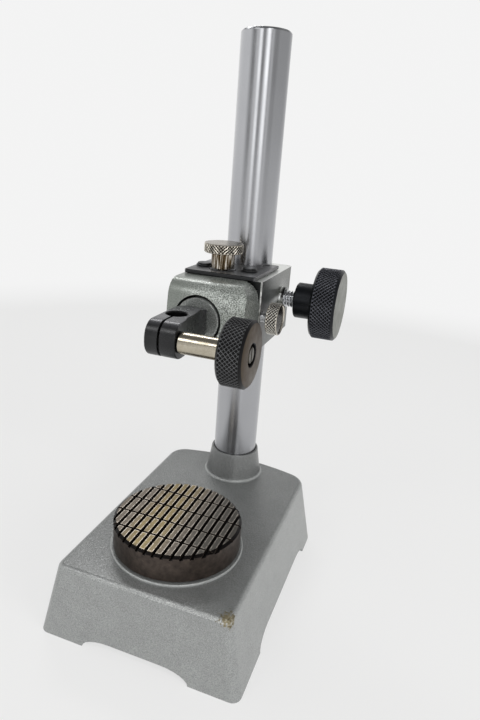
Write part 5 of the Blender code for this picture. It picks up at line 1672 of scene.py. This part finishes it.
@dataclass(frozen=True)
class StemThumbAssembly(SubAssembly):
    """Sleeve, knurled knob, clip and slotted screw that close the stem clamp.

    Attributes:
        knurl: the knob's knurling.
        recess_radius_mm: radius of the recess in the knob's end.
        recess_depth_mm: its depth.
        bore_mm: radius of the bore behind it.
        chamfer_mm: the chamfers at the knurling's ends.
        face_edge_mm: the small edges of the end face.
        sleeve_edges: the sleeve's edges.
        clip_edges: the clip's.
        screw_edges: the slotted screw's.
    """

    knurl: Knurl = Knurl(1.9, 1.2, 0.45)
    recess_radius_mm: float = 4.9
    recess_depth_mm: float = 2.6
    bore_mm: float = 3.3
    chamfer_mm: float = 1.0
    face_edge_mm: float = 0.35
    sleeve_edges: Refinement = Refinement(0.15)
    clip_edges: Refinement = Refinement(0.1)
    screw_edges: Refinement = Refinement(0.12)

    def build(self) -> None:
        """Makes and dresses the pieces."""
        self.refine(NICKEL_ROD, Slot.NICKEL, Body.STEM_SPACER, self.sleeve_edges, "stem_sleeve")
        origin, radius, width = lying_box("stem_knob")
        knob = Turning(origin, Axis.X, self._outline(radius, width), self.knurl, closed=True)
        dressed(knob.build("stem_knob_knurled"), STEM_KNOB_BLACK, Body.STEM_THUMB, ["stem_knob"])
        self.refine(SPRING_WIRE, Slot.SPRING, Body.STEM_THUMB, self.clip_edges, "stem_clip")
        self.refine(BLUED_SCREW, Slot.NICKEL, Body.STEM_THUMB, self.screw_edges, "stem_screw")

    def _outline(self, radius: float, width: float) -> list[Stop]:
        """Draws the knob's outline, from the bore round the rim to the recess.

        Args:
            radius: the knob's radius.
            width: its width.

        Returns:
            The corners, as a closed ring.
        """
        chamfer, edge = self.chamfer_mm * MM, self.face_edge_mm * MM
        bore, recess = self.bore_mm * MM, self.recess_radius_mm * MM
        floor = width - self.recess_depth_mm * MM
        return [Stop(floor, bore), Stop(0.0, bore), Stop(0.0, radius - chamfer),
                Stop(chamfer, radius, True), Stop(width - chamfer, radius),
                Stop(width - edge / 2.0, radius - chamfer + edge / 2.0),
                Stop(width, radius - chamfer - edge / 2.0), Stop(width, recess + edge),
                Stop(width - edge, recess), Stop(floor, recess)]


@dataclass(frozen=True)
class FineScrewAssembly(SubAssembly):
    """Fine adjusting screw with its knurled, crowned head.

    Attributes:
        knurl: the head's knurling, drawn coarser than it is, so that its diamonds show.
        shank_radius_mm: radius of the shank under the head.
        stem_radius_mm: radius of the stem below it.
        head_height_mm: the head's height.
        shank_height_mm: the shank's height.
        edge_mm: the head's small edges.
        crown_mm: how far its top is crowned.
        tip_edges: the edges of the screw's tip.
    """

    knurl: Knurl = Knurl(1.8, 1.05, 0.5)
    shank_radius_mm: float = 6.0
    stem_radius_mm: float = 2.5
    head_height_mm: float = 5.0
    shank_height_mm: float = 7.7
    edge_mm: float = 0.3
    crown_mm: float = 0.35
    tip_edges: Refinement = Refinement(0.2)

    def build(self) -> None:
        """Makes and dresses the pieces."""
        low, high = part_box("fine_knob")
        origin = Vector(((low.x + high.x) / 2.0, (low.y + high.y) / 2.0, high.z))
        stops = self._outline((high.x - low.x) / 2.0, low.z - high.z)
        knob = Turning(origin, Axis.Z, stops, self.knurl).build("fine_knob_knurled")
        dressed(knob, FINE_NICKEL, Body.FINE_SCREW, ["fine_knob"])
        self.refine(ZINC, Slot.ZINC, Body.FINE_FOOT, self.tip_edges, "fine_tip")

    def _outline(self, radius: float, bottom: float) -> list[Stop]:
        """Draws the screw's outline, from its lower end to the middle of its crown.

        Args:
            radius: the head's radius.
            bottom: the lower end's height, from the crown's top.

        Returns:
            The corners.
        """
        edge, crown = self.edge_mm * MM, self.crown_mm * MM
        shank, stem = self.shank_radius_mm * MM, self.stem_radius_mm * MM
        head = -self.head_height_mm * MM
        foot = head - self.shank_height_mm * MM
        return [Stop(bottom, 0.0), Stop(bottom, stem), Stop(foot, stem), Stop(foot, shank),
                Stop(head, shank), Stop(head, radius - edge), Stop(head + edge, radius, True),
                Stop(-crown - edge, radius), Stop(-crown, radius - edge),
                Stop(-crown / 2.0, radius * 0.72), Stop(-crown / 6.0, radius * 0.36), Stop(0.0, 0.0)]


@dataclass(frozen=True)
class LockAssembly(SubAssembly):
    """Locking thumb screw on the bracket's right side.

    Attributes:
        knurl: the head's knurling, drawn coarser than it is, so that its diamonds show.
        thread: the stem's thread.
        head_width_mm: the head's width.
        stem_radius_mm: the stem's radius.
        collar: radius of the collar behind the head, over the stem's.
        rim_mm: width of the rim round the dished end.
        dish_mm: how deep that end is dished.
        edge_mm: the head's small edges.
        tip_edges: the edges of the screw's tip.
    """

    knurl: Knurl = Knurl(1.75, 1.05, 0.5)
    thread: Thread = Thread(0.7, 0.35)
    head_width_mm: float = 5.8
    stem_radius_mm: float = 2.5
    collar: float = 1.25
    rim_mm: float = 0.9
    dish_mm: float = 0.5
    edge_mm: float = 0.3
    tip_edges: Refinement = Refinement(0.2)

    def build(self) -> None:
        """Makes and dresses the pieces."""
        origin, radius, length = lying_box("lock_screw")
        head, stem = length - self.head_width_mm * MM, self.stem_radius_mm * MM
        stops = self._outline(radius, head, length)
        knob = Turning(origin, Axis.X, stops, self.knurl).build("lock_knob_knurled")
        dressed(knob, LOCK_NICKEL, Body.LOCK_THUMB, ["lock_screw"])
        stud = self.thread.build("lock_thread", origin, Axis.X, 0.0, head - self.edge_mm * MM / 2.0, stem)
        dressed(stud, CHROME, Body.LOCK_THUMB)
        self.refine(BRONZE, Slot.BRONZE, Body.LOCK_FOOT, self.tip_edges, "lock_tip")

    def _outline(self, radius: float, head: float, length: float) -> list[Stop]:
        """Draws the head's outline, from its collar to the middle of its dish.

        Args:
            radius: the head's radius.
            head: where it begins.
            length: where it ends.

        Returns:
            The corners.
        """
        edge, dish, collar = self.edge_mm * MM, self.dish_mm * MM, self.stem_radius_mm * MM * self.collar
        inner = radius - edge - self.rim_mm * MM
        return [Stop(head - edge, 0.0), Stop(head - edge, collar), Stop(head, collar),
                Stop(head, radius - edge), Stop(head + edge, radius, True), Stop(length - edge, radius),
                Stop(length, radius - edge), Stop(length, inner + edge), Stop(length - dish, inner),
                Stop(length - dish, 0.0)]


@dataclass(frozen=True)
class ClampAssembly(SubAssembly):
    """Column clamping screw: threaded stud, hub and large knurled head.

    Attributes:
        knurl: the head's knurling.
        thread: the stud's thread.
        head_width_mm: the head's width.
        hub_radius_mm: the hub's radius.
        bore_mm: radius of the hub's bore, which the stud sits in.
        seat_mm: the bore's depth.
        chamfer_mm: the chamfers at the knurling's ends.
        hub_edge_mm: the hub's rounded edge.
        stud_radius_mm: the stud's radius.
        pad_edges: the edges of the pad.
    """

    knurl: Knurl = Knurl(2.0, 1.2, 0.5)
    thread: Thread = Thread(1.5, 0.75)
    head_width_mm: float = 13.3
    hub_radius_mm: float = 9.6
    bore_mm: float = 4.95
    seat_mm: float = 8.0
    chamfer_mm: float = 1.2
    hub_edge_mm: float = 0.6
    stud_radius_mm: float = 4.65
    pad_edges: Refinement = Refinement(0.2)

    def build(self) -> None:
        """Makes and dresses the pieces."""
        origin, radius, length = lying_box("clamp_knob")
        knob = Turning(origin, Axis.X, self._outline(radius, length), self.knurl).build("clamp_knob_knurled")
        dressed(knob, CLAMP_KNOB_BLACK, Body.CLAMP_SCREW, ["clamp_knob"])
        start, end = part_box("clamp_stud")
        stud = self.thread.build("clamp_stud_threaded", origin, Axis.X, start.x - origin.x,
                                 end.x - origin.x, self.stud_radius_mm * MM)
        dressed(stud, CHROME, Body.CLAMP_SCREW, ["clamp_stud"])
        self.refine(BRONZE, Slot.BRONZE, Body.CLAMP_FOOT, self.pad_edges, "clamp_pad")

    def _outline(self, radius: float, length: float) -> list[Stop]:
        """Draws the knob's outline, from the bore round the hub to the end face.

        Args:
            radius: the head's radius.
            length: the knob's length, with its hub.

        Returns:
            The corners.
        """
        head = length - self.head_width_mm * MM
        chamfer, edge = self.chamfer_mm * MM, self.hub_edge_mm * MM
        hub, bore, seat = self.hub_radius_mm * MM, self.bore_mm * MM, self.seat_mm * MM
        return [Stop(seat, 0.0), Stop(seat, bore), Stop(0.0, bore), Stop(0.0, hub - edge), Stop(edge, hub),
                Stop(head - edge, hub), Stop(head, hub + edge), Stop(head, radius - chamfer),
                Stop(head + chamfer, radius, True), Stop(length - chamfer, radius),
                Stop(length - chamfer * 0.3, radius - chamfer * 0.7),
                Stop(length, radius - chamfer * 1.1), Stop(length, 0.0)]


@dataclass(frozen=True)
class Softbox:
    """One area light.

    Attributes:
        name: the light's name.
        place: where it hangs.
        size: width and height in metres.
        watts: its power.
        colour: sRGB hex.
        aim: what it points at.
        mirrored: whether polished metal shows the lamp itself.
    """

    name: str
    place: Triple
    size: Span
    watts: float
    colour: str = "#ffffff"
    aim: Triple = (0.0, 0.0, 0.13)
    mirrored: bool = True

    def hang(self) -> None:
        """Puts the light in the scene."""
        lamp = bpy.data.lights.new(self.name, "AREA")
        lamp.shape = "RECTANGLE"
        lamp.size, lamp.size_y = self.size
        lamp.energy = self.watts
        lamp.color = linear(self.colour)[:3]
        holder = bpy.data.objects.new(self.name, lamp)
        holder.location = self.place
        holder.rotation_euler = (Vector(self.aim) - Vector(self.place)).to_track_quat("-Z", "Y").to_euler()
        holder.visible_glossy = self.mirrored
        bpy.context.scene.collection.objects.link(holder)


@dataclass(frozen=True)
class Studio:
    """Floor, backdrop, lights and camera.

    Attributes:
        backdrop: brightness that the camera sees behind the stand.
        camera_place: the camera's place.
        camera_turn_degrees: its Euler angles.
        camera_shift: how far the lens is shifted, as a share of the long side.
        lens_mm: its focal length on a 36 mm long side.
        sensor_mm: that long side.
        clip: nearest and furthest that it sees.
        floor_reach: half the floor's side, in metres.
        floor_drop_mm: how far the floor lies under the stand, so that the two don't flicker.
        walls: the room's brightness by bearing, in degrees from +X toward +Y.
        rise: how it changes upward, by the sine of the height above the horizon.
        wall_end: sines between which the upright panels give way to the ceiling.
        mean_wall: brightness of the room where it has no panels.
        room_strength: how strongly the room lights the stand.
        lights: its lamps.
    """

    backdrop: float = 0.9
    camera_place: Triple = (0.099896, -0.255485, 0.223444)
    camera_turn_degrees: Triple = (70.1732, -3.5682, 21.1116)
    camera_shift: Span = (0.023695, 0.006959)
    lens_mm: float = 29.1345
    sensor_mm: float = 36.0
    clip: Span = (0.01, 50.0)
    floor_reach: float = 12.0
    floor_drop_mm: float = 0.02
    walls: Sequence[Span] = (
        (-180.0, 0.70), (-146.0, 0.74), (-136.0, 0.44), (-128.0, 0.13), (-120.0, 0.14), (-113.0, 0.50),
        (-104.0, 0.68), (-99.0, 1.3), (-93.0, 1.7), (-89.0, 1.1), (-85.0, 0.22), (-77.0, 0.22),
        (-70.0, 0.90), (-66.0, 1.4), (-60.0, 1.85), (-55.0, 1.5), (-50.0, 0.34), (-40.0, 0.60),
        (-34.0, 0.32), (-28.0, 0.24), (-18.0, 0.25), (-8.0, 0.35), (50.0, 0.35), (90.0, 0.55),
        (130.0, 0.70), (180.0, 0.70))
    rise: Sequence[Span] = (
        (-1.0, 0.5), (0.0, 1.0), (0.4, 1.0), (0.5, 0.35), (0.58, 0.35), (0.68, 0.56), (0.82, 0.56),
        (0.9, 0.25), (1.0, 0.35))
    wall_end: Span = (0.45, 0.75)
    mean_wall: float = 0.40
    room_strength: float = 1.5
    # The key and the fill aren't mirrored: as streaks in the column they would clip to white,
    # and the room's panels draw its bands instead.
    lights: Sequence[Softbox] = (
        Softbox("key_right", (1.05, -0.45, 0.5), (0.6, 0.6), 6.2, mirrored=False),
        Softbox("fill_front", (-0.13, -1.24, 0.4), (0.3, 0.7), 1.3, mirrored=False),
        Softbox("edge_glint", (-0.42, -0.62, 0.85), (0.3, 0.3), 1.2, aim=(0.0, -0.07, 0.04)),
        Softbox("knurl_glint", (0.45, -0.55, 0.9), (0.3, 0.3), 1.2),
        Softbox("back_glare", (-0.38, 0.6, 0.88), (0.35, 0.14), 1.7, aim=(0.0, -0.06, 0.04)))

    def build(self) -> None:
        """Sets the whole studio up."""
        self._floor()
        self._world()
        self._camera()
        for light in self.lights:
            light.hang()
        bpy.context.scene.view_settings.view_transform = "Standard"

    def _floor(self) -> None:
        """Lays the floor."""
        shape = bmesh.new()
        bmesh.ops.create_grid(shape, x_segments=8, y_segments=8, size=self.floor_reach)
        mesh = bpy.data.meshes.new("studio_floor")
        shape.to_mesh(mesh)
        shape.free()
        floor = bpy.data.objects.new("studio_floor", mesh)
        bpy.context.scene.collection.objects.link(floor)
        floor.location.z = -self.floor_drop_mm * MM
        mesh.materials.append(FLOOR_PAPER.material())

    def _world(self) -> None:
        """Builds a room of upright soft panels round the stand, and a pale backdrop for the eye."""
        world = bpy.data.worlds.new("studio_room")
        world.use_nodes = True
        tree = world.node_tree
        way = add_node(tree, "TexCoord", give="Generated")
        parts = add_node(tree, "SeparateXYZ", [way]).node.outputs
        angle = add_node(tree, "Math", [parts["Y"], parts["X"]], operation="ARCTAN2")
        bearing = add_node(tree, "MapRange", [angle, -math.pi, math.pi])
        walls = add_node(tree, "ValToRGB", [bearing],
                         stops=[((degrees + 180.0) / 360.0, grey(value)) for degrees, value in self.walls])
        height = add_node(tree, "MapRange", [parts["Z"], -1.0, 1.0])
        tall = add_node(tree, "ValToRGB", [height],
                        stops=[((sine + 1.0) / 2.0, grey(value)) for sine, value in self.rise])
        steep = add_node(tree, "Math", [parts["Z"]], operation="ABSOLUTE")
        ceiling = add_node(tree, "MapRange", [steep, *self.wall_end])
        around = coats(tree, walls, (ceiling, grey(self.mean_wall)))
        room = add_node(tree, "VectorMath", [around, tall], operation="MULTIPLY")
        seen = add_node(tree, "Background", {"Color": grey(self.backdrop), "Strength": 1.0})
        lit = add_node(tree, "Background", {"Color": room, "Strength": self.room_strength})
        eye = add_node(tree, "LightPath", give="Is Camera Ray")
        shown = add_node(tree, "MixShader", [eye, lit, seen])
        connect(tree, tree.nodes["World Output"], {"Surface": shown})
        bpy.context.scene.world = world

    def _camera(self) -> None:
        """Sets the camera up where the anvil's known circle says that the picture was taken."""
        eye = bpy.data.cameras.new("picture_camera")
        eye.lens = self.lens_mm
        eye.sensor_width = self.sensor_mm
        eye.sensor_fit = "AUTO"
        eye.shift_x, eye.shift_y = self.camera_shift
        eye.clip_start, eye.clip_end = self.clip
        holder = bpy.data.objects.new("picture_camera", eye)
        holder.location = self.camera_place
        holder.rotation_euler = Euler([math.radians(turn) for turn in self.camera_turn_degrees])
        bpy.context.scene.collection.objects.link(holder)
        bpy.context.scene.camera = holder


def main() -> None:
    """Loads the frame, dresses it and sets the studio up."""
    logging.basicConfig(level=logging.INFO)
    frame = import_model()
    for assembly in (StandAssembly, BracketAssembly, RockerAssembly, StemThumbAssembly,
                     FineScrewAssembly, LockAssembly, ClampAssembly):
        assembly(frame).build()
        log.info("built %s", assembly.__name__)
    Studio().build()


if __name__ == "__main__":
    main()
